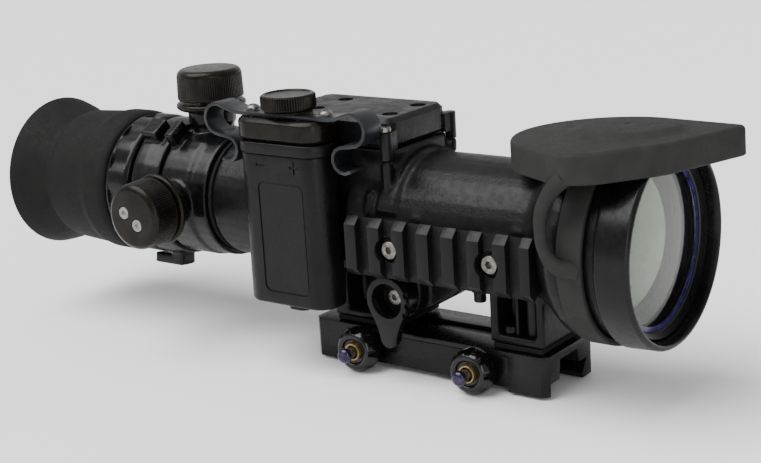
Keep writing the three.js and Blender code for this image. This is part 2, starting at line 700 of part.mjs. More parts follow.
function strapScrew() {
  const seat = STRAP_HEIGHT + STRAP_THICKNESS / 2 + 0.5;
  return turned('z', [[seat, 0], [seat, 2.6], [seat + 0.9, 2.3], [seat + 1.5, 1.3], [seat + 1.6, 0]], 16);
}

function thumbscrew() {
  const foot = LID_TOP + 2.9;
  const top = foot + 5.4;
  const knob = turned('z', [[foot, 0], [foot, 9.2], [foot + 0.5, 9.8], [top - 0.6, 9.8],
    [top, 9.2], [top, 8.2], [top - 0.5, 7.8], [top - 0.5, 0]], 32);
  const stud = disc('z', LID_TOP - 2.4, foot + 1, 2, 12);
  return join(knob, stud).translate(STRAP_X, BOX_Y, 0);
}

function thumbscrewWasher() {
  const foot = STRAP_HEIGHT + STRAP_THICKNESS / 2 + GAP;
  return ring('z', foot, LID_TOP + 2.6, 8.6, 2 + GAP, SMALL).translate(STRAP_X, BOX_Y, 0);
}

place('spring_strap', springStrap(), 'spring');
place('strap_screw_rear', strapScrew().translate(STRAP_X - STRAP_SCREW_REACH, BOX_Y, 0), 'steel');
place('strap_screw_front', strapScrew().translate(STRAP_X + STRAP_SCREW_REACH, BOX_Y, 0), 'steel');
place('thumbscrew', thumbscrew(), 'anodised');
place('thumbscrew_washer', thumbscrewWasher(), 'rubber');

// ---- side rail ---------------------------------------------------------------------------
// Its section is drawn as [y, z] about the rail's own middle height.
function sideRail() {
  const half = RAIL_WIDTH / 2;
  const crest = half - 2.74;
  const face = RAIL_FACE_Y;
  const back = face + RAIL_DEPTH;
  const section = polygon([
    [face, -crest], [face + 2.74, -half], [face + 5, -half + 2.2], [back, -half + 2.2],
    [back, half - 2.2], [face + 5, half - 2.2], [face + 2.74, half], [face, crest],
  ]);
  const body = lengthways(section, RAIL_REAR, RAIL_REAR + RAIL_LENGTH);
  const slots = [];
  for (let i = 0; i < RAIL_SLOTS; i += 1) {
    const from = RAIL_REAR + RAIL_FIRST_RIB + i * RAIL_PITCH;
    slots.push(block(from, from + RAIL_SLOT, face - 1, face + 3, -half - 1, half + 1));
  }
  const seats = RAIL_SCREW_SLOTS.map((slot) => (
    disc('y', face - 1, face + 4.4, 4.6, SMALL).translate(railSlotCentre(slot), 0, 0)));
  const hollow = turned('x', [[CONE_FROM, 0], ...flare(GAP), [CONE_TO, 0]]);
  const relief = hollow.translate(0, 0, AXIS_HEIGHT - RAIL_HEIGHT);
  return cut(body, relief, ...slots, ...seats).translate(0, 0, RAIL_HEIGHT);
}

function railScrew() {
  const seat = -RAIL_FACE_Y - 4.4 + GAP;
  return socketScrew(3.6, seat, 3, 1.6).rotateX(Math.PI / 2);
}

place('side_rail', sideRail(), 'painted');
['rear', 'front'].forEach((end, i) => {
  const x = railSlotCentre(RAIL_SCREW_SLOTS[i]);
  place(`rail_screw_${end}`, railScrew().translate(x, 0, RAIL_HEIGHT), 'steel');
});

// ---- power lever -------------------------------------------------------------------------
const LEVER_RADIUS = 8.5;
const LEVER_BORE = 6.3;
const LEVER_WELL = 7.2;
const LEVER_REACH = 17;
const LEVER_TIP = 3.4;

// A teardrop: a round eye, narrowing to a blunt finger tip that hangs down at rest.
function leverOutline() {
  const shape = new THREE.Shape();
  const tipZ = LEVER_TIP - LEVER_REACH;
  shape.absarc(0, 0, LEVER_RADIUS, THREE.MathUtils.degToRad(-35), THREE.MathUtils.degToRad(215));
  shape.quadraticCurveTo(-LEVER_TIP - 0.8, -9.5, -LEVER_TIP, tipZ);
  shape.absarc(0, tipZ, LEVER_TIP, Math.PI, 2 * Math.PI);
  shape.quadraticCurveTo(LEVER_TIP + 0.8, -9.5, LEVER_RADIUS * Math.cos(THREE.MathUtils.degToRad(-35)),
    LEVER_RADIUS * Math.sin(THREE.MathUtils.degToRad(-35)));
  return shape;
}

function powerLever() {
  const plate = sideways(leverOutline(), LEVER_FACE_Y, LEVER_FACE_Y + 3.2);
  const hub = disc('y', LEVER_FACE_Y + 2, LEVER_BOSS_Y - GAP, 7.5, SMALL);
  const well = disc('y', LEVER_FACE_Y - 1, LEVER_FACE_Y + LEVER_WELL, LEVER_BORE, SMALL);
  const notches = [20, -5, -30].map((angle) => {
    const notch = disc('y', LEVER_FACE_Y - 1, LEVER_FACE_Y + 1.6, 1.1, 8);
    return notch.translate(LEVER_RADIUS + 0.2, 0, 0).rotateY(THREE.MathUtils.degToRad(-angle));
  });
  return cut(join(plate, hub), well, ...notches).translate(LEVER_X, 0, LEVER_Z);
}

function leverScrew() {
  const screw = socketScrew(2.8, -LEVER_FACE_Y - LEVER_WELL + GAP, 1.9, 1.3).rotateX(Math.PI / 2);
  return screw.translate(LEVER_X, 0, LEVER_Z);
}

place('power_lever', powerLever(), 'painted');
place('lever_screw', leverScrew(), 'steel');

// ---- rail clamp --------------------------------------------------------------------------
const SEAT_FROM = 5.6;          // seat strip beside the bolt channel
const SEAT_TO = 10.8;           // widest part of the clamped rail
const LIP_TIP = 7.5;
const LIP_HEIGHT = 1.7;
const CHANNEL_TOP = 11.4;
const JAW_TOP = 12.3;
const JAW_FACE = -15.4;

// Cross-section in [y, z]: a fixed hooked lip on +Y, a plain skirted wall on the jaw's side.
function clampSection() {
  const half = CLAMP_WIDTH / 2;
  return polygon([
    [half, 0], [half, CLAMP_HEIGHT - 2.2], [half - 2.6, CLAMP_HEIGHT], [-half, CLAMP_HEIGHT],
    [-half, 0], [2.4 - half, 0], [2.4 - half, 4.6], [-7.7, 4.6], [-7, CHANNEL_TOP],
    [SEAT_FROM - 1, CHANNEL_TOP], [SEAT_FROM, SEAT_HEIGHT], [SEAT_TO, SEAT_HEIGHT],
    [LIP_TIP, LIP_HEIGHT], [LIP_TIP, 0],
  ]);
}

function clampBase() {
  const half = CLAMP_LENGTH / 2;
  const bar = lengthways(clampSection(), -half, half);
  const plan = cutCornerPlan(CLAMP_LENGTH, CLAMP_WIDTH, 2.4);
  const trimmed = keep(bar, pillar(plan, -1, CLAMP_HEIGHT + 1));
  const bay = block(JAW_FROM, JAW_TO, -CLAMP_WIDTH, -6.9, -1, JAW_TOP + GAP);
  const boltHoles = [BOLT_REAR, BOLT_FRONT].map((x) => (
    disc('y', -20, 20, BOLT_RADIUS + 0.2, 16).translate(x, 0, BOLT_HEIGHT)));
  const headSeats = [BOLT_REAR, BOLT_FRONT].map((x) => (
    disc('y', 13.4, 20, 4.4, 16).translate(x, 0, BOLT_HEIGHT)));
  const channel = block(-30, 30, -3.4, 3.4, CLAMP_HEIGHT - 1.2, CLAMP_HEIGHT + 1);
  return cut(trimmed, bay, channel, ...boltHoles, ...headSeats);
}

// A rectangle with its corners cut off at 45 degrees.
function cutCornerPlan(length, width, corner) {
  const x = length / 2;
  const y = width / 2;
  return polygon([[x, corner - y], [x, y - corner], [x - corner, y], [corner - x, y],
    [-x, y - corner], [-x, corner - y], [corner - x, -y], [x - corner, -y]]);
}

function clampJaw() {
  const section = polygon([
    [JAW_FACE, 1.3], [-LIP_TIP, 1.3], [-LIP_TIP, LIP_HEIGHT], [-SEAT_TO, SEAT_HEIGHT],
    [-SEAT_TO, SEAT_HEIGHT + 1], [-7.6, SEAT_HEIGHT + 1], [-7.6, JAW_TOP], [JAW_FACE, JAW_TOP],
  ]);
  const bar = lengthways(section, JAW_FROM + GAP, JAW_TO - GAP);
  const holes = [BOLT_REAR, BOLT_FRONT].map((x) => (
    disc('y', -20, 0, BOLT_RADIUS + 0.2, 16).translate(x, 0, BOLT_HEIGHT)));
  return cut(bar, ...holes);
}

function clampBolt(x) {
  const shank = turned('y', [[-30.4, 0], [-30.4, 1.7], [-29.8, BOLT_RADIUS], [13.6, BOLT_RADIUS],
    [13.6, 4.1], [15.9, 4.1], [15.9, 0]], 16);
  return shank.translate(x, 0, BOLT_HEIGHT);
}

function thumbNut(x) {
  const outer = -24.2;
  const inner = -17.6;
  const body = turned('y', [[inner, BOLT_RADIUS + 0.3], [inner, NUT_RADIUS - 0.5],
    [inner - 0.8, NUT_RADIUS], [outer + 2, NUT_RADIUS], [outer, NUT_RADIUS - 1.2],
    [outer, 4.6], [outer + 1.2, 4.2], [outer + 1.2, BOLT_RADIUS + 0.3]], 24);
  const flutes = [];
  const count = 8;
  for (let i = 0; i < count; i += 1) {
    const flute = disc('y', outer - 1, inner - 1.6, 1.9, 10).translate(NUT_RADIUS + 1.1, 0, 0);
    flutes.push(flute.rotateY((2 * Math.PI * i) / count));
  }
  return cut(body, ...flutes).translate(x, 0, BOLT_HEIGHT);
}

function springWasher(x) {
  return ring('y', -17.3, JAW_FACE - GAP, 5.3, BOLT_RADIUS + 0.4, SMALL).translate(x, 0, BOLT_HEIGHT);
}

place('clamp_base', clampBase(), 'painted');
place('clamp_jaw', clampJaw(), 'painted');
[['rear', BOLT_REAR], ['front', BOLT_FRONT]].forEach(([end, x]) => {
  place(`clamp_bolt_${end}`, clampBolt(x), 'bolt');
  place(`thumb_nut_${end}`, thumbNut(x), 'anodised');
  place(`spring_washer_${end}`, springWasher(x), 'steel');
});

// Thin rubber pads between the housing's pedestals and the clamp.
[['rear', REAR_PEDESTAL], ['front', FRONT_PEDESTAL]].forEach(([end, { rear, front }]) => {
  const inset = 0.8;
  const half = PEDESTAL_HALF_WIDTH - inset;
  const pad = block(rear + inset, front - inset, -half, half, CLAMP_HEIGHT + GAP, CLAMP_HEIGHT + 2);
  place(`pedestal_pad_${end}`, pad, 'rubber');
});

// ---- objective ---------------------------------------------------------------------------
function focusRing() {
  return turned('x', [
    [FOCUS_REAR, 30.6], [FOCUS_REAR, FOCUS_RADIUS - 0.6], [FOCUS_REAR + 0.6, FOCUS_RADIUS],
    [OBJECTIVE_FRONT - 0.8, FOCUS_RADIUS - 0.4], [OBJECTIVE_FRONT, FOCUS_RADIUS - 1.2],
    [OBJECTIVE_FRONT, 31.6], [OBJECTIVE_FRONT - 2, 31], [OBJECTIVE_FRONT - 5, 30.6],
  ]);
}

function lensCell() {
  return turned('x', [
    [66, 24], [66, 29.1], [78.5, 29.1], [78.5, 30.1], [85.2, 30.1], [85.2, 29],
    [83.4, LENS_RADIUS + GAP], [78, LENS_RADIUS + GAP], [78, 26.5], [70.6, 26.5], [70.6, 25.4],
  ]);
}

// A slab whose plan wraps round the cap's disc, lug and pull tab; each level is [z, inset].
function capSlab(...levels) {
  const corners = [];
  levels.forEach(([z, inset]) => {
    [CAP_DISC, CAP_LUG, CAP_TAB].forEach(({ x, y, radius }) => {
      for (let i = 0; i < BIG; i += 1) {
        const angle = (2 * Math.PI * i) / BIG;
        const reach = Math.max(radius - inset, 0.2);
        corners.push(new THREE.Vector3(x + reach * Math.cos(angle), y + reach * Math.sin(angle), z));
      }
    });
  });
  return new ConvexGeometry(corners);
}

function objectiveCap() {
  const wall = 2.2;
  const plate = 1.2;
  const { x, y, radius } = CAP_DOME;
  const shell = capSlab([-CAP_DEPTH, 0], [-0.8, 0], [0, 0.8]);
  const hollow = capSlab([-CAP_DEPTH - 1, wall], [-plate, wall]);
  const dome = turned('z', [[-plate / 2, 0], [-plate / 2, radius], [0, radius], [0.5, radius - 1.4],
    [1.6, radius - 4], [2.1, radius - 6.5], [2.2, 0]]);
  const pinhole = disc('z', -3, 5, 0.6, 8);
  return cut(join(shell, dome.translate(x, y, 0)), hollow, pinhole.translate(x, y, 0));
}

place('strap_ring', ring('x', STRAP_RING_FROM, STRAP_RING_TO, STRAP_RING_RADIUS,
  OBJECTIVE_RADIUS - 0.4 + GAP), 'rubber', optics);
place('focus_ring', focusRing(), 'painted', optics);
place('lens_cell', lensCell(), 'black', optics);
place('objective_lens_front', lens(80.6, LENS_RADIUS, -1.2, 2.6, 3.6), 'glass', optics);
place('objective_lens_rear', lens(73.6, 26.2, 1, 1, 3), 'glass', optics);

// The cap lies on the objective, its front edge and its battery-side edge a little raised.
const capSeat = new THREE.Group();
capSeat.position.set(CAP_X, CAP_Y, CAP_TOP);
capSeat.rotation.set(-CAP_LEAN, -CAP_TILT, 0);
sight.add(capSeat);
place('objective_cap', objectiveCap(), 'rubber', capSeat);

// The moulded strap runs from the strap ring's battery side up to the foot of the cap's lug.
function capStrap() {
  const radius = 2.6;
  const out = STRAP_RING_RADIUS + radius + GAP;
  const section = new THREE.Shape();
  section.absarc(0, 0, radius, 0, 2 * Math.PI);
  const route = new THREE.CatmullRomCurve3([
    new THREE.Vector3(69.5, -out, 1), new THREE.Vector3(64.5, -out - 0.6, 2.5),
    new THREE.Vector3(60.8, -out - 0.8, 8), new THREE.Vector3(60.4, -out - 0.6, 15),
    new THREE.Vector3(61.6, -out - 0.4, 19.6), new THREE.Vector3(65, -out, 23.4),
  ]);
  return new THREE.ExtrudeGeometry(section, { extrudePath: route, steps: 16, curveSegments: 3 });
}

place('cap_strap', capStrap(), 'rubber', optics);

export default sight;
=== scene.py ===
import json
import math

import bmesh
import bpy
from mathutils import Matrix, Vector


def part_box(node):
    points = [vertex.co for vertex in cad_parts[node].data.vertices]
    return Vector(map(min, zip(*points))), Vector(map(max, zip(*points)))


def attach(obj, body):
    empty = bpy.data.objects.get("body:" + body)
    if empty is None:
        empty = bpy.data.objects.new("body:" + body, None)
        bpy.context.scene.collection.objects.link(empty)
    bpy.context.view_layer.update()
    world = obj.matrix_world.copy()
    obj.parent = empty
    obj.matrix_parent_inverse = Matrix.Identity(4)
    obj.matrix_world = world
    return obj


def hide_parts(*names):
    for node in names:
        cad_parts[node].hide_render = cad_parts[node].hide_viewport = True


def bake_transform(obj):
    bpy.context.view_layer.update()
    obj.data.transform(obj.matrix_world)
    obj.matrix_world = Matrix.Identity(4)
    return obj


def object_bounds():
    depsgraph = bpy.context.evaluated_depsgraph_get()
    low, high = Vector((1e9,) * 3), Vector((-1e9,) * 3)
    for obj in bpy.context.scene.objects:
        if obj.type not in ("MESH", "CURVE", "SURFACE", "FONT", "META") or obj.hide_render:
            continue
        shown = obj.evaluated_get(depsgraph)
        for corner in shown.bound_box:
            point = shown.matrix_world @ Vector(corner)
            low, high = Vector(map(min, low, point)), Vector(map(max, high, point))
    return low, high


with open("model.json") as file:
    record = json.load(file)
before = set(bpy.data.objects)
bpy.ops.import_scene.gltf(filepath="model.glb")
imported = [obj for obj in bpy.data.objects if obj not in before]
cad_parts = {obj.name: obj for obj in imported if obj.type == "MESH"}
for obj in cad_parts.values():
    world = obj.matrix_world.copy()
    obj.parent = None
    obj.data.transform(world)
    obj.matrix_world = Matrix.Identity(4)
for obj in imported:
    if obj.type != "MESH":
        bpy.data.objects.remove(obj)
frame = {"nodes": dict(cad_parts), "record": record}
CAD_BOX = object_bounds()
RECORD = frame["record"]
MM = 0.001
BODY_OF = {node: body for body, nodes in RECORD["behaviour"]["bodies"].items() for node in nodes}
SLOT_OF = {part["node"]: part["material_slot"] for part in RECORD["subparts"]}

# The height of the optical axis, and the radius of the front lens, in millimetres.
AXIS_HEIGHT = (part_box("focus_ring")[0][2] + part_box("focus_ring")[1][2]) / 2 / MM
LENS_RADIUS = (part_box("objective_lens_front")[1][1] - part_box("objective_lens_front")[0][1]) / 2 / MM
SHARP_ANGLE = 38


# ---- camera ------------------------------------------------------------------------------
IMAGE_WIDTH = 761
FOCAL_PIXELS = 1593
CAMERA_PLACE = Vector((0.3081, -0.4428, 0.1970))
CAMERA_AZIMUTH = math.radians(38.27)
CAMERA_ELEVATION = math.radians(14.28)
CAMERA_ROLL = math.radians(-3.76)
CAMERA_SHIFT = (0.0390, -0.0341)
SENSOR_WIDTH = 36


def add_camera():
    data = bpy.data.cameras.new("camera")
    data.sensor_width = SENSOR_WIDTH
    data.lens = SENSOR_WIDTH * FOCAL_PIXELS / IMAGE_WIDTH
    data.shift_x, data.shift_y = CAMERA_SHIFT
    data.clip_start = 0.01
    camera = bpy.data.objects.new("camera", data)
    bpy.context.collection.objects.link(camera)
    side = Vector((math.cos(CAMERA_AZIMUTH), math.sin(CAMERA_AZIMUTH), 0))
    back = Vector((
        math.sin(CAMERA_AZIMUTH) * math.cos(CAMERA_ELEVATION),
        -math.cos(CAMERA_AZIMUTH) * math.cos(CAMERA_ELEVATION),
        math.sin(CAMERA_ELEVATION),
    ))
    roll = Matrix.Rotation(CAMERA_ROLL, 3, back)
    side = roll @ side
    above = back.cross(side)
    turn = Matrix((side, above, back)).transposed()
    camera.matrix_world = Matrix.Translation(CAMERA_PLACE) @ turn.to_4x4()
    bpy.context.scene.camera = camera


add_camera()


# ---- light and floor ---------------------------------------------------------------------
WORLD_STRENGTH = 0.7
FLOOR_REACH = 3
FLOOR_DROP = 0.0002
FLOOR_GREY = 0.93


def add_area_light(name, place, target, size, power):
    data = bpy.data.lights.new(name, "AREA")
    data.shape = "RECTANGLE"
    data.size, data.size_y = size
    data.energy = power
    light = bpy.data.objects.new(name, data)
    bpy.context.collection.objects.link(light)
    light.location = place
    light.rotation_euler = (Vector(target) - Vector(place)).to_track_quat("-Z", "Y").to_euler()


def add_sun(name, heading, strength, spread):
    data = bpy.data.lights.new(name, "SUN")
    data.energy = strength
    data.angle = math.radians(spread)
    light = bpy.data.objects.new(name, data)
    bpy.context.collection.objects.link(light)
    light.rotation_euler = Vector(heading).to_track_quat("Z", "Y").to_euler()


def add_studio():
    world = bpy.data.worlds.new("studio")
    bpy.context.scene.world = world
    world.use_nodes = True
    background = world.node_tree.nodes["Background"]
    background.inputs["Color"].default_value = (1, 1, 1, 1)
    background.inputs["Strength"].default_value = WORLD_STRENGTH
    add_sun("overhead_softbox", heading=(-0.35, -0.45, 1.0), strength=4.6, spread=55)
    add_area_light("front_strip", place=(0.75, -0.75, 0.35), target=(0.05, 0, 0.05),
                   size=(0.12, 0.7), power=2.5)


def add_floor():
    lowest = CAD_BOX[0][2] - FLOOR_DROP
    mesh = bpy.data.meshes.new("floor")
    signs = ((-1, -1), (1, -1), (1, 1), (-1, 1))
    corners = [(u * FLOOR_REACH, v * FLOOR_REACH, lowest) for u, v in signs]
    mesh.from_pydata(corners, [], [(0, 1, 2, 3)])
    floor = bpy.data.objects.new("floor", mesh)
    bpy.context.collection.objects.link(floor)
    material = bpy.data.materials.new("floor_paper")
    material.use_nodes = True
    shader = material.node_tree.nodes["Principled BSDF"]
    shader.inputs["Base Color"].default_value = (FLOOR_GREY, FLOOR_GREY, FLOOR_GREY, 1)
    shader.inputs["Roughness"].default_value = 0.9
    mesh.materials.append(material)


add_studio()
add_floor()


# ---- materials ---------------------------------------------------------------------------
class Surface:
    """A Principled material with noise-driven roughness, tone and bump, sized in millimetres."""

    def __init__(self, name, roughness, metallic=0.0, specular=0.5):
        self.material = bpy.data.materials.new(name)
        self.material.use_nodes = True
        self.tree = self.material.node_tree
        self.shader = self.tree.nodes["Principled BSDF"]
        self.place = self.tree.nodes.new("ShaderNodeTexCoord").outputs["Object"]
        self.shader.inputs["Metallic"].default_value = metallic
        self.shader.inputs["Roughness"].default_value = roughness
        self.shader.inputs["Specular IOR Level"].default_value = specular
        self.height = None

    def node(self, kind, **inputs):
        made = self.tree.nodes.new(kind)
        for key, value in inputs.items():
            made.inputs[key].default_value = value
        return made

    def link(self, start, end):
        self.tree.links.new(start, end)

    def noise(self, grain_mm, detail=3.0, stretch=(1, 1, 1)):
        """Noise whose grains are about grain_mm across, stretched along the axes."""
        mapping = self.node("ShaderNodeMapping")
        mapping.inputs["Scale"].default_value = [1 / s for s in stretch]
        self.link(self.place, mapping.inputs["Vector"])
        noise = self.node("ShaderNodeTexNoise", Scale=1000 / grain_mm, Detail=detail)
        self.link(mapping.outputs["Vector"], noise.inputs["Vector"])
        return noise.outputs["Fac"]

    def between(self, value, low, high, start=0.3, stop=0.7):
        remap = self.node("ShaderNodeMapRange")
        limits = {"From Min": start, "From Max": stop, "To Min": low, "To Max": high}
        for key, amount in limits.items():
            remap.inputs[key].default_value = amount
        self.link(value, remap.inputs["Value"])
        return remap.outputs["Result"]

    def vary_roughness(self, value, low, high):
        self.link(self.between(value, low, high), self.shader.inputs["Roughness"])

    def tones(self, value, dark, light, start=0.35, stop=0.65):
        ramp = self.node("ShaderNodeValToRGB")
        ramp.color_ramp.elements[0].position = start
        ramp.color_ramp.elements[0].color = (*dark, 1)
        ramp.color_ramp.elements[1].position = stop
        ramp.color_ramp.elements[1].color = (*light, 1)
        self.link(value, ramp.inputs["Fac"])
        self.link(ramp.outputs["Color"], self.shader.inputs["Base Color"])

    def worn_edges(self, value, dark, light, bright):
        """Two noise tones, with the mesh's own convex edges rubbed brighter."""
        self.tones(value, dark, light)
        base = self.shader.inputs["Base Color"].links[0].from_socket
        edge = self.node("ShaderNodeNewGeometry").outputs["Pointiness"]
        worn = self.between(edge, 0.0, 1.0, 0.53, 0.62)
        mix = self.tree.nodes.new("ShaderNodeMix")
        mix.data_type = "RGBA"
        mix.inputs["B"].default_value = (*bright, 1)
        self.link(worn, mix.inputs["Factor"])
        self.link(base, mix.inputs["A"])
        self.link(mix.outputs["Result"], self.shader.inputs["Base Color"])

    def bump(self, value, depth_mm, strength=1.0):
        bump = self.node("ShaderNodeBump", Strength=strength, Distance=depth_mm * MM)
        self.link(value, bump.inputs["Height"])
        if self.height is not None:
            self.link(self.height, bump.inputs["Normal"])
        self.height = bump.outputs["Normal"]
        self.link(self.height, self.shader.inputs["Normal"])


def cast_paint():
    surface = Surface("cast_paint", 0.4, specular=0.16)
    surface.worn_edges(surface.noise(9),
                       (0.0032, 0.0032, 0.0034), (0.0055, 0.0055, 0.006), (0.011, 0.011, 0.0115))
    surface.vary_roughness(surface.noise(2.5), 0.27, 0.44)
    surface.bump(surface.noise(1.0, 2), 0.07)
    surface.bump(surface.noise(4, 2), 0.08)
    return surface.material


def satin_black():
    surface = Surface("satin_black", 0.3, specular=0.2)
    surface.worn_edges(surface.noise(6),
                       (0.002, 0.002, 0.0022), (0.004, 0.004, 0.0042), (0.008, 0.008, 0.0085))
    surface.vary_roughness(surface.noise(1.8), 0.2, 0.33)
    surface.bump(surface.noise(0.6, 2), 0.01)
    return surface.material


def gloss_black():
    surface = Surface("gloss_black", 0.14, specular=0.35)
    surface.worn_edges(surface.noise(5),
                       (0.002, 0.002, 0.002), (0.004, 0.004, 0.0045), (0.02, 0.02, 0.02))
    surface.vary_roughness(surface.noise(1.8), 0.08, 0.18)
    surface.bump(surface.noise(0.6, 2), 0.004)
    return surface.material


def bronze_anodised():
    surface = Surface("bronze_anodised", 0.3, metallic=0.6, specular=0.2)
    surface.worn_edges(surface.noise(5),
                       (0.009, 0.0075, 0.006), (0.014, 0.012, 0.0095), (0.028, 0.026, 0.023))
    surface.vary_roughness(surface.noise(2), 0.22, 0.33)
    surface.bump(surface.noise(0.35, 2), 0.004)
    return surface.material


def moulded_rubber(name, grey):
    surface = Surface(name, 0.7, specular=0.08)
    surface.tones(surface.noise(6),
                  (0.9 * grey, 0.9 * grey, 0.88 * grey), (1.1 * grey, 1.1 * grey, 1.07 * grey))
    surface.vary_roughness(surface.noise(1.2), 0.58, 0.76)
    surface.bump(surface.noise(0.45, 2), 0.018)
    return surface.material


def inner_black():
    surface = Surface("inner_black", 0.45, specular=0.35)
    surface.tones(surface.noise(3), (0.002, 0.002, 0.0022), (0.005, 0.005, 0.0055))
    surface.vary_roughness(surface.noise(1.5), 0.3, 0.5)
    surface.bump(surface.noise(0.6, 2), 0.01)
    return surface.material


def blued_spring():
    surface = Surface("blued_spring", 0.34, metallic=0.45)
    surface.worn_edges(surface.noise(6, 4),
                       (0.008, 0.0095, 0.011), (0.013, 0.0145, 0.017), (0.03, 0.033, 0.036))
    surface.vary_roughness(surface.noise(0.8, 3, (1, 12, 1)), 0.26, 0.4)
    surface.bump(surface.noise(0.3, 2, (1, 15, 1)), 0.005)
    return surface.material


def bright_steel():
    surface = Surface("bright_steel", 0.32, metallic=0.9)
    surface.tones(surface.noise(1.2), (0.11, 0.105, 0.095), (0.24, 0.23, 0.21))
    surface.vary_roughness(surface.noise(0.7), 0.24, 0.45)
    surface.bump(surface.noise(0.4, 2), 0.012)
    return surface.material


def dull_alloy():
    surface = Surface("dull_alloy", 0.5, metallic=0.3)
    surface.tones(surface.noise(1.2), (0.17, 0.165, 0.145), (0.27, 0.265, 0.24))
    surface.vary_roughness(surface.noise(0.7), 0.4, 0.6)
    surface.bump(surface.noise(0.4, 2), 0.01)
    return surface.material


def tinted_bolt():
    surface = Surface("tinted_bolt", 0.2, metallic=0.8)
    surface.tones(surface.noise(2), (0.02, 0.016, 0.036), (0.05, 0.044, 0.08))
    surface.vary_roughness(surface.noise(0.8), 0.12, 0.25)
    surface.bump(surface.noise(0.4, 2), 0.005)
    return surface.material


def brass():
    surface = Surface("aged_brass", 0.35, metallic=0.85)
    surface.tones(surface.noise(1.5), (0.24, 0.155, 0.06), (0.38, 0.27, 0.12))
    surface.vary_roughness(surface.noise(0.8), 0.3, 0.5)
    surface.bump(surface.noise(0.3, 2), 0.006)
    return surface.material


def circuit_board():
    surface = Surface("solder_mask", 0.5)
    surface.tones(surface.noise(3), (0.015, 0.08, 0.03), (0.03, 0.13, 0.05))
    surface.vary_roughness(surface.noise(2), 0.4, 0.6)
    surface.bump(surface.noise(1, 2), 0.01)
    return surface.material


def cell_jacket():
    surface = Surface("cell_jacket", 0.4, metallic=0.3)
    surface.tones(surface.noise(5), (0.26, 0.27, 0.3), (0.34, 0.36, 0.4))
    surface.vary_roughness(surface.noise(2), 0.3, 0.5)
    surface.bump(surface.noise(0.8, 2), 0.01)
    return surface.material


def clear_glass():
    """Slightly green glass that lets the dark inside of the barrel show."""
    surface = Surface("clear_glass", 0.02, specular=0.2)
    shader = surface.shader
    shader.inputs["Transmission Weight"].default_value = 1
    shader.inputs["IOR"].default_value = 1.27
    surface.tones(surface.noise(20), (0.82, 0.88, 0.8), (0.88, 0.92, 0.86))
    surface.vary_roughness(surface.noise(8), 0.0, 0.02)
    return surface.material


def coating_with_painted_reflection():
    """The inner element's coating, a pale grey green that darkens to violet at the rim: the green and
    violet are the coating's own tints, and their rings from a pale centre through a dark band to the rim
    are painted reflection.
    """
    surface = Surface("coating_with_painted_reflection", 0.05, metallic=1)
    split = surface.node("ShaderNodeSeparateXYZ")
    surface.link(surface.place, split.inputs["Vector"])
    flat = surface.node("ShaderNodeCombineXYZ")
    level = surface.node("ShaderNodeMath")
    level.operation = "SUBTRACT"
    level.inputs[1].default_value = AXIS_HEIGHT * MM
    surface.link(split.outputs["Y"], flat.inputs["X"])
    surface.link(split.outputs["Z"], level.inputs[0])
    surface.link(level.outputs[0], flat.inputs["Y"])
    length = surface.node("ShaderNodeVectorMath")
    length.operation = "LENGTH"
    surface.link(flat.outputs["Vector"], length.inputs[0])
    reach = surface.between(length.outputs["Value"], 0, 1, 0, LENS_RADIUS * MM)
    ramp = surface.node("ShaderNodeValToRGB")
    ramp.color_ramp.elements[0].color = (0.1, 0.112, 0.092, 1)
    ramp.color_ramp.elements[1].color = (0.02, 0.015, 0.08, 1)
    # Painted reflection: these rings of pale, dark and violet across the element stand in for
    # reflections, laid over the coating's tints.
    reflection_bands = ((0.6, (0.075, 0.085, 0.066)), (0.78, (0.026, 0.03, 0.023)), (0.9, (0.03, 0.022, 0.1)))
    for position, color in reflection_bands:
        ramp.color_ramp.elements.new(position).color = (*color, 1)
    surface.link(reach, ramp.inputs["Fac"])
    surface.link(ramp.outputs["Color"], surface.shader.inputs["Base Color"])
    surface.vary_roughness(surface.noise(6), 0.02, 0.06)
    return surface.material


def violet_edge():
    surface = Surface("violet_edge", 0.2, specular=0.6)
    surface.tones(surface.noise(4), (0.012, 0.008, 0.05), (0.03, 0.016, 0.14))
    surface.vary_roughness(surface.noise(2), 0.12, 0.3)
    return surface.material


CAST = cast_paint()
SATIN = satin_black()
BRONZE = bronze_anodised()
RUBBER = moulded_rubber("moulded_rubber", 0.0105)
FADED = moulded_rubber("faded_rubber", 0.024)
INNER = inner_black()
SPRING = blued_spring()
STEEL = bright_steel()
BOLT = tinted_bolt()
BRASS = brass()
ALLOY = dull_alloy()
GLOSS = gloss_black()
GLASS = clear_glass()
COATING_WITH_PAINTED_REFLECTION = coating_with_painted_reflection()
VIOLET = violet_edge()

LOOKS = {
    "rubber_black": RUBBER,
    "cast_black": CAST,
    "anodised_bronze": BRONZE,
    "inner_black": INNER,
    "carrier_alloy": INNER,
    "spring_steel": SPRING,
    "bright_steel": STEEL,
    "black_screw": SATIN,
    "bolt_steel": BOLT,
    "lens_glass": GLASS,
    "circuit": circuit_board(),
    "cell_jacket": cell_jacket(),
}


# ---- making pieces -----------------------------------------------------------------------
# Every helper takes millimetres in the frame's own axes.
FRAMES = {
    "x": (Vector((1, 0, 0)), Vector((0, 1, 0)), Vector((0, 0, 1))),
    "-y": (Vector((0, -1, 0)), Vector((1, 0, 0)), Vector((0, 0, 1))),
    "z": (Vector((0, 0, 1)), Vector((1, 0, 0)), Vector((0, 1, 0))),
}


def span(node):
    """Lowest and highest corner of a CAD node, in millimetres."""
    low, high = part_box(node)
    return Vector(low) / MM, Vector(high) / MM


def middle(node):
    low, high = span(node)
    return (low + high) / 2


def shaded(mesh, sharp=SHARP_ANGLE):
    """The mesh shaded smooth but for edges sharper than an angle in degrees."""
    mesh.shade_smooth()
    mesh.set_sharp_from_angle(angle=math.radians(sharp))
    return mesh


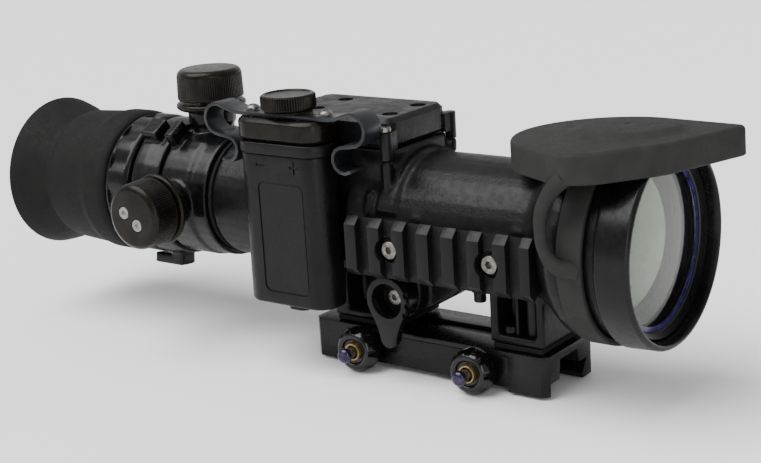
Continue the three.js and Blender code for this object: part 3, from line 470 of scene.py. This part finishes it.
def add_piece(name, mesh, body, slot, material, *nodes):
    piece = bpy.data.objects.new(name, mesh)
    bpy.context.collection.objects.link(piece)
    mesh.materials.clear()
    mesh.materials.append(material)
    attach(piece, body)
    if nodes:
        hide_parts(*nodes)
    return piece


def stands_for(node, mesh, material):
    return add_piece(node + "_fine", mesh, BODY_OF[node], SLOT_OF[node], material, node)


def mesh_of(name, body, sharp=SHARP_ANGLE):
    bmesh.ops.recalc_face_normals(body, faces=body.faces)
    mesh = bpy.data.meshes.new(name)
    body.to_mesh(mesh)
    body.free()
    return shaded(mesh, sharp)


def rounded(profile, size, steps=3):
    """The profile with each corner that is off the axis turned into a small arc."""
    points = []
    for i, corner in enumerate(profile):
        here = Vector(corner)
        if here.y == 0:
            points.append(here)
            continue
        before = Vector(profile[i - 1]) - here
        after = Vector(profile[(i + 1) % len(profile)]) - here
        reach = min(size, 0.45 * before.length, 0.45 * after.length)
        start = here + before.normalized() * reach
        stop = here + after.normalized() * reach
        for k in range(steps + 1):
            t = k / steps
            points.append((1 - t) ** 2 * start + 2 * t * (1 - t) * here + t ** 2 * stop)
    return points


def turned(name, profile, axis="x", centre=(0, 0, 0), ripple=None, steps=128):
    """A turned form: profile points are (place along the axis, radius), round the section."""
    along, first, second = FRAMES[axis]
    body = bmesh.new()
    rings = []
    for place, radius in profile:
        ring = []
        for i in range(steps if radius > 0 else 1):
            angle = 2 * math.pi * i / steps
            reach = ripple(place, radius, angle) if ripple else radius
            point = along * place + first * reach * math.cos(angle) + second * reach * math.sin(angle)
            ring.append(body.verts.new((Vector(centre) + point) * MM))
        rings.append(ring)
    neighbours = list(zip(rings, rings[1:]))
    if len(rings[0]) > 1:
        neighbours.append((rings[-1], rings[0]))
    for lower, upper in neighbours:
        for i in range(steps):
            j = (i + 1) % steps
            corners = [lower[i % len(lower)], lower[j % len(lower)],
                       upper[j % len(upper)], upper[i % len(upper)]]
            corners = list(dict.fromkeys(corners))
            if len(corners) > 2:
                body.faces.new(corners)
    return mesh_of(name, body)


def arc(centre, radius, start, stop, steps=8):
    """Points on a circle, from start to stop in degrees."""
    angles = [math.radians(start + (stop - start) * i / steps) for i in range(steps + 1)]
    return [(centre[0] + radius * math.cos(a), centre[1] + radius * math.sin(a)) for a in angles]


def rounded_rectangle(centre, length, width, radius):
    x, y = length / 2 - radius, width / 2 - radius
    cx, cy = centre
    corners = (((x, y), 0), ((-x, y), 90), ((-x, -y), 180), ((x, -y), 270))
    return [point for (dx, dy), start in corners
            for point in arc((cx + dx, cy + dy), radius, start, start + 90)]


def prism(name, outline, low, high, axis="z"):
    """An outline in the axis's own two cross directions, drawn out along the axis."""
    along, first, second = FRAMES[axis]
    body = bmesh.new()
    ends = []
    for place in (low, high):
        ends.append([body.verts.new((along * place + first * u + second * v) * MM) for u, v in outline])
    body.faces.new(ends[0])
    body.faces.new(ends[1])
    for i in range(len(outline)):
        j = (i + 1) % len(outline)
        body.faces.new((ends[0][i], ends[0][j], ends[1][j], ends[1][i]))
    return mesh_of(name, body)


def settled(mesh, *modifiers):
    """The mesh after the given (kind, settings) modifiers, applied in turn."""
    carrier = bpy.data.objects.new("carrier", mesh)
    bpy.context.collection.objects.link(carrier)
    for kind, settings in modifiers:
        modifier = carrier.modifiers.new(kind.lower(), kind)
        for key, value in settings.items():
            setattr(modifier, key, value)
    depsgraph = bpy.context.evaluated_depsgraph_get()
    result = bpy.data.meshes.new_from_object(carrier.evaluated_get(depsgraph))
    result.name = mesh.name
    bpy.data.objects.remove(carrier)
    return result


def combined(mesh, operation, *tools):
    """The mesh after joining or cutting away each tool mesh."""
    for tool in tools:
        helper = bpy.data.objects.new("tool", tool)
        bpy.context.collection.objects.link(helper)
        mesh = settled(mesh, ("BOOLEAN", {"operation": operation, "solver": "EXACT", "object": helper}))
        bpy.data.objects.remove(helper)
    return mesh


def softened(mesh, width, segments=3, angle=35):
    """The mesh with its sharp edges rounded."""
    settings = {
        "width": width * MM, "segments": segments, "limit_method": "ANGLE",
        "angle_limit": math.radians(angle), "use_clamp_overlap": True,
    }
    return shaded(settled(mesh, ("BEVEL", settings)))


def own_form(node):
    """A copy of the node's mesh with its flat faces merged."""
    mesh = frame["nodes"][node].data.copy()
    mesh.name = node + "_fine"
    body = bmesh.new()
    body.from_mesh(mesh)
    bmesh.ops.remove_doubles(body, verts=body.verts, dist=0.001 * MM)
    bmesh.ops.dissolve_limit(body, angle_limit=math.radians(1), verts=body.verts, edges=body.edges)
    body.to_mesh(mesh)
    body.free()
    return mesh


def cast_form(node, grain=0.7, rounds=6):
    """The node's form with the soft inner and outer corners of a casting."""
    mesh = settled(
        own_form(node),
        ("REMESH", {"mode": "VOXEL", "voxel_size": grain * MM}),
        ("SMOOTH", {"factor": 0.5, "iterations": rounds}),
    )
    mesh.shade_smooth()
    return mesh


# ---- castings and machined blocks --------------------------------------------------------
def add_castings():
    for node in ("main_housing", "turret_housing", "eyepiece_housing"):
        stands_for(node, cast_form(node), CAST if node == "main_housing" else SATIN)


def add_blocks():
    softness = {
        "top_cover": (CAST, 0.7), "battery_lid": (BRONZE, 0.35), "side_rail": (CAST, 0.3),
        "power_lever": (SATIN, 0.4), "clamp_base": (SATIN, 0.35), "clamp_jaw": (SATIN, 0.35),
        "spring_strap": (SPRING, 0.2),
    }
    for node, (material, width) in softness.items():
        stands_for(node, softened(own_form(node), width), material)


# ---- battery box -------------------------------------------------------------------------
BOX_WALL_INSET = 0.6
BOX_CORNER = 7.6
LIP_HEIGHT = 4.1
PANEL_LENGTH = 20.4
PANEL_HEIGHT = 40.4
GROOVE_DEPTH = 0.35


def box_outline(grow):
    """The lip's outline, grown or shrunk evenly; the walls stand BOX_WALL_INSET inside it."""
    low, high = span("battery_box")
    centre = ((low.x + high.x) / 2, (low.y + high.y) / 2)
    return rounded_rectangle(centre, high.x - low.x + 2 * grow, high.y - low.y + 2 * grow,
                             BOX_CORNER + grow)


def face_mark(name, centre, length, width, radius, face, depth=GROOVE_DEPTH):
    """A cutter that sinks a rounded rectangle into the battery box's face."""
    outline = rounded_rectangle(centre, length, width, radius)
    return prism(name, outline, face - depth, face + 1, "-y")


def add_battery_box():
    low, high = span("battery_box")
    centre = middle("battery_box")
    lip_foot = high.z - LIP_HEIGHT
    floor = low.z + 1.6
    face = -low.y - BOX_WALL_INSET
    walls = softened(prism("battery_box", box_outline(-BOX_WALL_INSET), floor, lip_foot + 0.3), 1.2, 4)
    lip = softened(prism("lip", box_outline(0), lip_foot, high.z), 0.5)
    foot_outline = rounded_rectangle((centre.x + 3, centre.y - 2), 9, 8, 3)
    foot = softened(prism("foot", foot_outline, low.z, floor + 1), 0.4)
    cell_low, cell_high = span("battery_cell_rear")
    bay_radius = (cell_high.x - cell_low.x) / 2 + 0.35
    reach = span("battery_cell_front")[1].x - cell_low.x + 0.7
    bay_outline = rounded_rectangle((centre.x, centre.y), reach, 2 * bay_radius, bay_radius - 0.05)
    bay = prism("bay", bay_outline, floor + 2, high.z + 1)
    panel = (centre.x + 1.5, floor + 25)
    field_outline = rounded_rectangle(panel, PANEL_LENGTH - 1.4, PANEL_HEIGHT - 1.4, 2)
    groove = combined(
        face_mark("groove", panel, PANEL_LENGTH, PANEL_HEIGHT, 2.6, face),
        "DIFFERENCE",
        prism("field", field_outline, face - 1, face + 2, "-y"))
    recess = face_mark("recess", panel, PANEL_LENGTH - 1, PANEL_HEIGHT - 1, 2.2, face, 0.18)
    mark_height = high.z - 8
    plus_centre = (centre.x + 8.4, mark_height)
    minus = face_mark("minus", (centre.x - 6.9, mark_height), 4, 0.9, 0.3, face)
    plus = combined(
        face_mark("plus", plus_centre, 4.2, 0.95, 0.3, face),
        "UNION",
        face_mark("upright", plus_centre, 0.95, 4.6, 0.3, face))
    mesh = combined(walls, "UNION", lip, foot)
    mesh = combined(mesh, "DIFFERENCE", bay, recess, groove, minus, plus)
    stands_for("battery_box", shaded(mesh, 30), CAST)


# ---- eyepiece ----------------------------------------------------------------------------
def add_eyecup():
    low, high = span("eyecup")
    rear, front = low.x, high.x
    flare = (high.z - low.z) / 2
    profile = [
        (rear, flare), (rear + 5, flare - 1.3), (rear + 11, flare - 3.4), (rear + 16.5, flare - 5.3),
        (rear + 18.2, flare - 5.2), (rear + 19.6, flare - 4.2), (rear + 37.5, flare - 3.2),
        (rear + 40.5, flare - 2.3), (front - 2.5, flare - 2.3), (front, flare - 3.4),
        (front, 23.4), (rear + 16.5, 23.4), (rear + 11.5, 25), (rear + 5.5, 27.4), (rear, flare - 1.4),
    ]
    mesh = turned("eyecup", rounded(profile, 1.6, 4), "x", (0, 0, AXIS_HEIGHT))
    stands_for("eyecup", mesh, RUBBER)


def scalloped(count, depth, start, stop, floor):
    """Ripple: rounded hollows in the part of the profile beyond a floor radius."""
    def ripple(place, radius, angle):
        if radius < floor or not start <= place <= stop:
            return radius
        return radius - depth * (0.5 + 0.5 * math.cos(count * angle)) ** 1.6
    return ripple


def add_dioptre_ring():
    low, high = span("dioptre_ring")
    rear, front = low.x, high.x
    grip = span("eyecup")[1].x + 0.3
    radius = 27.4
    profile = [
        (rear, 20.4), (rear, 23.1), (grip, 23.1), (grip, radius - 1), (grip + 1, radius - 0.2),
        (grip + 2.6, radius), (front - 2.6, radius), (front - 1, radius - 0.3), (front, radius - 1.2),
        (front, 22.4), (grip - 8.7, 22.4), (grip - 8.7, 20.4),
    ]
    ripple = scalloped(12, 1.1, grip + 2, front - 2, radius - 0.5)
    mesh = turned("dioptre_ring", rounded(profile, 0.7), "x", (0, 0, AXIS_HEIGHT), ripple, 192)
    stands_for("dioptre_ring", mesh, SATIN)


# ---- turrets -----------------------------------------------------------------------------
def knurled(count, depth, start, stop, floor):
    """Ripple: straight ridges on the part of the profile beyond a floor radius."""
    def ripple(place, radius, angle):
        if radius < floor or not start <= place <= stop:
            return radius
        return radius - depth * (0.5 + 0.5 * math.cos(count * angle))
    return ripple


def turret_frame(kind):
    """Axis name, centre on the optical axis, and a function giving the reach of a node's box."""
    centre = (middle(kind + "_knob").x, 0, AXIS_HEIGHT)
    if kind == "windage":
        return "-y", centre, lambda node: (-span(node)[1].y, -span(node)[0].y)
    return "z", centre, lambda node: (span(node)[0].z - AXIS_HEIGHT, span(node)[1].z - AXIS_HEIGHT)


def add_turret(kind):
    axis, centre, reach = turret_frame(kind)
    low, high = reach(kind + "_knob")
    radius = 12.5
    bore = 4.7
    top = 42
    profile = [
        (low, bore), (low, radius - 0.2), (low + 0.6, radius + 0.3), (low + 1.4, radius + 0.2),
        (high - 2.2, radius), (high - 0.9, radius - 0.5), (high, radius - 1.9), (high, 0),
        (top, 0), (top, bore),
    ]
    ridges = 96
    ripple = knurled(ridges, 0.14, low + 1, high - 2, radius - 0.1)
    knob = turned(kind + "_knob", rounded(profile, 0.6), axis, centre, ripple, ridges * 4)
    if kind == "windage":
        seats = []
        for node in ("windage_face_screw_1", "windage_face_screw_2"):
            place = middle(node)
            seat = [(high - 2.2, 0), (high - 2.2, 2.6), (high + 1, 2.6), (high + 1, 0)]
            seats.append(turned("seat", seat, axis, (place.x, 0, place.z), steps=48))
        knob = shaded(combined(knob, "DIFFERENCE", *seats))
    stands_for(kind + "_knob", knob, BRONZE)
    foot, face = reach(kind + "_flange")
    flange = [
        (foot, bore), (foot, 12.3), (foot + 1, 13.4),
        (face - 0.6, 13.4), (face, 12.6), (face, bore),
    ]
    mesh = turned(kind + "_flange", rounded(flange, 0.4), axis, centre)
    stands_for(kind + "_flange", mesh, BRONZE)


def add_face_screws():
    for node in ("windage_face_screw_1", "windage_face_screw_2"):
        low, high = span(node)
        place = middle(node)
        radius = (high.x - low.x) / 2
        foot, top = -high.y, -low.y
        profile = [(foot, 0), (foot, radius), (top, radius), (top, 1.0), (top - 0.7, 0.8), (top - 1.4, 0)]
        mesh = turned(node, rounded(profile, 0.2), "-y", (place.x, 0, place.z), steps=48)
        stands_for(node, mesh, ALLOY)


# ---- strap, thumbscrew and screws --------------------------------------------------------
def add_thumbscrew():
    low, high = span("thumbscrew")
    centre = middle("thumbscrew")
    radius = (high.x - low.x) / 2
    foot = high.z - 5.4
    ridges = 64
    profile = [
        (low.z, 0), (low.z, 1.9), (foot, 1.9), (foot, radius - 0.7), (foot + 0.6, radius),
        (high.z - 0.7, radius), (high.z, radius - 0.7), (high.z, radius - 1.6),
        (high.z - 0.5, radius - 2), (high.z - 0.5, 0),
    ]
    ripple = knurled(ridges, 0.4, foot, high.z - 0.1, radius - 0.3)
    mesh = turned("thumbscrew", rounded(profile, 0.35), "z", (centre.x, centre.y, 0), ripple, ridges * 6)
    stands_for("thumbscrew", mesh, BRONZE)


def add_cross_screw(node):
    low, high = span(node)
    centre = middle(node)
    radius = (high.x - low.x) / 2
    height = high.z - low.z
    crown = [(low.z + height * math.sin(math.radians(a)), radius * math.cos(math.radians(a)))
             for a in range(0, 90, 10)]
    head = turned(node, [(low.z, 0)] + crown + [(high.z, 0)], "z", (centre.x, centre.y, 0), steps=64)
    arms = [prism("arm", rounded_rectangle((centre.x, centre.y), *size, 0.15), low.z + 0.5, high.z + 1)
            for size in ((0.55, 2.6), (2.6, 0.55))]
    head = shaded(combined(head, "DIFFERENCE", *arms))
    stands_for(node, head, STEEL)


def add_socket_screw(node, axis, material, slim=0, sunk=0):
    """A cheese head with a hexagon socket, slimmer and deeper than the node's box by two sizes."""
    low, high = span(node)
    centre = middle(node)
    radius = (high.x - low.x) / 2 - slim
    flat = (centre.x, centre.z) if axis == "-y" else (centre.x, centre.y)
    ends = (-high.y, -low.y - sunk) if axis == "-y" else (low.z, high.z - sunk)
    origin = (centre.x, 0, centre.z) if axis == "-y" else (centre.x, centre.y, 0)
    profile = [(ends[0], 0), (ends[0], radius), (ends[1], radius), (ends[1], 0)]
    head = turned(node, rounded(profile, 0.35), axis, origin, steps=64)
    depth = 0.6 * (ends[1] - ends[0])
    hexagon = arc(flat, 0.46 * radius, 0, 300, 5)
    socket = prism("socket", hexagon, ends[1] - depth, ends[1] + 1, axis)
    head = shaded(combined(head, "DIFFERENCE", socket))
    stands_for(node, head, material)


def add_screws():
    for node in ("strap_screw_rear", "strap_screw_front"):
        add_cross_screw(node)
    for node in ("rail_screw_rear", "rail_screw_front"):
        add_socket_screw(node, "-y", STEEL, slim=0.5, sunk=0.6)
    add_socket_screw("lever_screw", "-y", STEEL)
    add_socket_screw("corner_screw", "z", STEEL)
    for i in range(4):
        add_socket_screw(f"cover_screw_{i + 1}", "z", SATIN)


# ---- clamp hardware ----------------------------------------------------------------------
def add_clamp_nut(end):
    node = "thumb_nut_" + end
    low, high = span(node)
    centre = middle(node)
    radius = (high.z - low.z) / 2
    inner, outer = -high.y, -low.y
    profile = [
        (inner, 2.6), (inner, radius - 0.6), (inner + 0.9, radius), (outer - 2.2, radius),
        (outer - 0.6, radius - 1), (outer, radius - 1.8), (outer, 4.8),
        (outer - 1.1, 4.4), (outer - 1.1, 2.6),
    ]

    def fluted(place, reach, angle):
        if reach < radius - 1.3 or place < inner + 1.4:
            return reach
        return reach - 1.2 * max(0, math.cos(8 * angle)) ** 2

    origin = (centre.x, 0, centre.z)
    mesh = turned(node, rounded(profile, 0.5), "-y", origin, fluted, 192)
    stands_for(node, mesh, GLOSS)
    sleeve = [(outer - 1.6, 2.45), (outer - 1.6, 3.1), (outer + 0.4, 3.1), (outer + 0.4, 2.45)]
    sleeve_mesh = turned("nut_sleeve_" + end, rounded(sleeve, 0.2), "-y", origin, steps=64)
    add_piece("nut_sleeve_" + end, sleeve_mesh, BODY_OF[node], "bright_steel", BRASS)


def add_clamp_bolt(end):
    node = "clamp_bolt_" + end
    low, high = span(node)
    centre = middle(node)
    head, tip = -high.y, -low.y
    neck = tip - 2.7
    shank = [(head, 0), (head, 4.1), (head + 2.3, 4.1), (head + 2.3, 2.3), (tip - 8, 2.3),
             (tip - 7.4, 1.9), (neck, 1.9), (neck, 0)]
    point = [(neck, 0), (neck, 2.4), (neck + 0.4, 2.75), (tip - 0.9, 2.6),
             (tip - 0.2, 1.7), (tip, 0)]
    origin = (centre.x, 0, centre.z)
    stands_for(node, turned(node, rounded(shank, 0.2), "-y", origin, steps=64), STEEL)
    point_mesh = turned("bolt_tip_" + end, rounded(point, 0.4), "-y", origin, steps=64)
    add_piece("bolt_tip_" + end, point_mesh, BODY_OF[node], "bolt_steel", BOLT)


# ---- objective ---------------------------------------------------------------------------
def lens_profile(node, rear_bulge, front_bulge, extra=0):
    """A lens as wide as the node's box; a bulge swells outwards, or is hollow where negative.

    The front bulge stands out by extra more than the node's own.
    """
    low, high = span(node)
    radius = (high.z - low.z) / 2
    rear = low.x + max(rear_bulge, 0)
    front = high.x - max(front_bulge, 0)
    steps = 14
    reach = [radius * i / steps for i in range(steps + 1)]
    back = [(rear - rear_bulge * (1 - (r / radius) ** 2), r) for r in reach]
    swell = front_bulge + extra
    face = [(front + swell * (1 - (r / radius) ** 2), r) for r in reversed(reach)]
    return back + face


def add_lenses():
    axis = (0, 0, AXIS_HEIGHT)
    front = turned("front_lens", lens_profile("objective_lens_front", -1.2, 2.6), "x", axis)
    stands_for("objective_lens_front", front, GLASS)
    rear = turned("rear_lens", lens_profile("objective_lens_rear", 1, 1, 2.4), "x", axis)
    # The inner element's coating colours carry painted reflection rings.
    stands_for("objective_lens_rear", rear, COATING_WITH_PAINTED_REFLECTION)
    face = span("objective_lens_front")[1].x - 2.6
    rim = [(face + 0.2, LENS_RADIUS - 1.5), (face + 0.55, LENS_RADIUS - 1.5),
           (face + 0.4, LENS_RADIUS + 0.2), (face + 0.05, LENS_RADIUS + 0.2)]
    add_piece("lens_rim", turned("lens_rim", rim, "x", axis), "objective", "lens_glass", VIOLET)


def add_bell():
    low, high = span("focus_ring")
    rear, front = low.x, high.x
    radius = (high.z - low.z) / 2
    bell = [
        (rear, 30.6), (rear, radius - 0.6), (rear + 0.7, radius), (front - 1, radius - 0.4),
        (front, radius - 1.3), (front, radius - 2.3), (front - 1, radius - 2.7),
        (front - 2.2, radius - 3), (front - 5, radius - 3.4),
    ]
    stands_for("focus_ring", turned("focus_ring", rounded(bell, 0.4), "x", (0, 0, AXIS_HEIGHT)), SATIN)
    low, high = span("lens_cell")
    front = high.x
    lens_low, lens_high = span("objective_lens_front")
    lens = (lens_high.z - lens_low.z) / 2 + 0.3
    steps = []
    for i in range(4):
        steps += [(front - 0.45 * i, 29.9 - 0.4 * i), (front - 0.45 * (i + 1), 29.9 - 0.4 * i)]
    cell = [(low.x, 24), (low.x, 29.1), (front - 6.7, 29.1), (front - 6.7, 30.1), (front, 30.1)]
    cell += steps
    cell += [(front - 2.2, lens), (front - 7.2, lens), (front - 7.2, 26.5),
             (low.x + 4.6, 26.5), (low.x + 4.6, 25.4)]
    stands_for("lens_cell", turned("lens_cell", cell, "x", (0, 0, AXIS_HEIGHT)), INNER)
    low, high = span("strap_ring")
    radius = (high.z - low.z) / 2
    band = [(low.x, radius - 2.1), (low.x, radius), (high.x, radius), (high.x, radius - 2.1)]
    stands_for("strap_ring", turned("strap_ring", rounded(band, 0.8, 4), "x", (0, 0, AXIS_HEIGHT)), FADED)


# ---- rubber cap --------------------------------------------------------------------------
# The cap's own plane: its centre, and its small tilt forwards and lean sideways.
CAP_CENTRE = Vector((67.8, -1.2, AXIS_HEIGHT + 35.9))
CAP_TURN = Matrix.Rotation(math.radians(-1.4), 3, "X") @ Matrix.Rotation(math.radians(-2.1), 3, "Y")
CAP_ROUNDS = (((-1.8, -1), 30.8), ((2.5, -23.5), 14), ((33.2, 19.7), 2.5))


def cap_slab(name, levels, steps=96):
    """A convex slab round the cap's disc, strap lug and pull tab; levels are (z, inset)."""
    body = bmesh.new()
    for z, inset in levels:
        for centre, radius in CAP_ROUNDS:
            for u, v in arc(centre, max(radius - inset, 0.2), 0, 360 - 360 / steps, steps - 1):
                body.verts.new((CAP_CENTRE + CAP_TURN @ Vector((u, v, z))) * MM)
    hull = bmesh.ops.convex_hull(body, input=body.verts)
    inside = [v for v in hull["geom_interior"] if isinstance(v, bmesh.types.BMVert)]
    bmesh.ops.delete(body, geom=inside, context="VERTS")
    bmesh.ops.dissolve_limit(body, angle_limit=math.radians(0.5), verts=body.verts, edges=body.edges)
    return mesh_of(name, body)


def add_cap():
    depth = 9.8
    edge = [(-1.6 + 1.6 * math.sin(math.radians(a)), 1.6 - 1.6 * math.cos(math.radians(a)))
            for a in range(0, 91, 15)]
    skin = cap_slab("objective_cap", [(-depth, 0.5), (-depth + 0.5, 0)] + edge)
    hollow = cap_slab("hollow", [(-depth - 1, 2.2), (-1.2, 2.2)])
    swell = [(-0.6, 0), (-0.6, 21), (-0.05, 20.6)]
    for i in range(9):
        t = i / 8
        swell.append((1.8 * (3 * t ** 2 - 2 * t ** 3), 20.4 - 6 * t))
    swell += [(1.95, 12), (2.1, 6), (2.1, 1.6), (1.8, 0.8), (0.6, 0.7), (0.6, 0)]
    dome = turned("dome", swell, "z", (3, 4, 0))
    dome.transform(Matrix.Translation(CAP_CENTRE * MM) @ CAP_TURN.to_4x4())
    mesh = combined(skin, "UNION", dome)
    mesh = combined(mesh, "DIFFERENCE", hollow)
    stands_for("objective_cap", shaded(mesh, 34), FADED)


def add_cap_strap():
    """A moulded strap from the rubber ring up to the cap's lug, thick at both roots."""
    ring_low, ring_high = span("strap_ring")
    out = ring_low.y - 2.9
    level = AXIS_HEIGHT
    route = [
        ((ring_high.x - 2.4, out + 4.6, level - 1.2), 1.3), ((66.4, out + 0.4, level + 0.6), 1.1),
        ((62.6, out - 0.5, level + 6), 0.9), ((61.6, out - 0.6, level + 12), 0.85),
        ((62, out - 0.6, level + 17), 0.95), ((64, out - 0.7, level + 22), 1.0),
        ((67.4, out - 0.6, level + 26.4), 1.15), ((69.4, out + 0.6, level + 28.6), 1.3),
    ]
    curve = bpy.data.curves.new("cap_strap", "CURVE")
    curve.dimensions = "3D"
    spline = curve.splines.new("BEZIER")
    spline.bezier_points.add(len(route) - 1)
    for point, (place, width) in zip(spline.bezier_points, route):
        point.co = Vector(place) * MM
        point.radius = width
        point.handle_left_type = point.handle_right_type = "AUTO"
    curve.bevel_depth = 2.3 * MM
    curve.bevel_resolution = 8
    curve.resolution_u = 14
    curve.use_fill_caps = True
    mesh = settled_curve(curve)
    piece = bpy.data.objects.new("cap_strap_fine", mesh)
    bpy.context.collection.objects.link(piece)
    mesh.materials.clear()
    mesh.materials.append(FADED)
    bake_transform(piece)
    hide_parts("cap_strap")


def settled_curve(curve):
    carrier = bpy.data.objects.new("carrier", curve)
    bpy.context.collection.objects.link(carrier)
    depsgraph = bpy.context.evaluated_depsgraph_get()
    mesh = bpy.data.meshes.new_from_object(carrier.evaluated_get(depsgraph))
    bpy.data.objects.remove(carrier)
    body = bmesh.new()
    body.from_mesh(mesh)
    bmesh.ops.remove_doubles(body, verts=body.verts, dist=0.001 * MM)
    return mesh_of("cap_strap", body, 60)


# ---- small details of the housing --------------------------------------------------------
# The front pedestal's pocket: its ends along the sight, and its floor and roof below the axis.
POCKET_REAR = 29.5
POCKET_FRONT = 44.2
POCKET_FLOOR_DROP = 34
POCKET_ROOF_DROP = 20.4


def add_pocket_details():
    """A screw post, a thin rib and a low pad inside the front pedestal's pocket."""
    rear = POCKET_REAR
    front = POCKET_FRONT
    foot = AXIS_HEIGHT - POCKET_FLOOR_DROP
    top = AXIS_HEIGHT - POCKET_ROOF_DROP
    post = turned("pocket_post", [(foot, 0), (foot, 2.5), (top, 2.5), (top, 0)], "z",
                  (front - 3.4, -9, 0), steps=48)
    rib_outline = rounded_rectangle((rear + 6.8, -9), 1.2, 7.6, 0.4)
    rib = softened(prism("pocket_rib", rib_outline, foot, top), 0.3)
    pad_profile = rounded([(foot, 0), (foot, 2.9), (foot + 2.6, 2.6), (foot + 3, 0)], 0.5)
    pad = turned("pocket_pad", pad_profile, "z", (rear + 3.2, -10, 0), steps=48)
    for name, mesh in (("pocket_post", post), ("pocket_rib", rib), ("pocket_pad", pad)):
        add_piece(name, mesh, "housing", "cast_black", CAST)


def add_under_screw():
    """The small screw head that shows under the tube, ahead of the rear pedestal."""
    seat = AXIS_HEIGHT - 22.6
    profile = [(seat - 4, 0), (seat - 4, 2.2), (seat, 2.2), (seat, 0)]
    mesh = turned("under_screw", rounded(profile, 0.5), "z", (17.5, -6, 0), steps=48)
    add_piece("under_screw", mesh, "housing", "black_screw", SATIN)


add_castings()
add_blocks()
add_battery_box()
add_eyecup()
add_dioptre_ring()
for kind in ("elevation", "windage"):
    add_turret(kind)
add_face_screws()
add_thumbscrew()
add_screws()
for end in ("rear", "front"):
    add_clamp_nut(end)
    add_clamp_bolt(end)
add_lenses()
add_bell()
add_cap()
add_cap_strap()
add_pocket_details()
add_under_screw()

for node, cad in frame["nodes"].items():
    cad.data.materials.clear()
    cad.data.materials.append(LOOKS[SLOT_OF[node]])
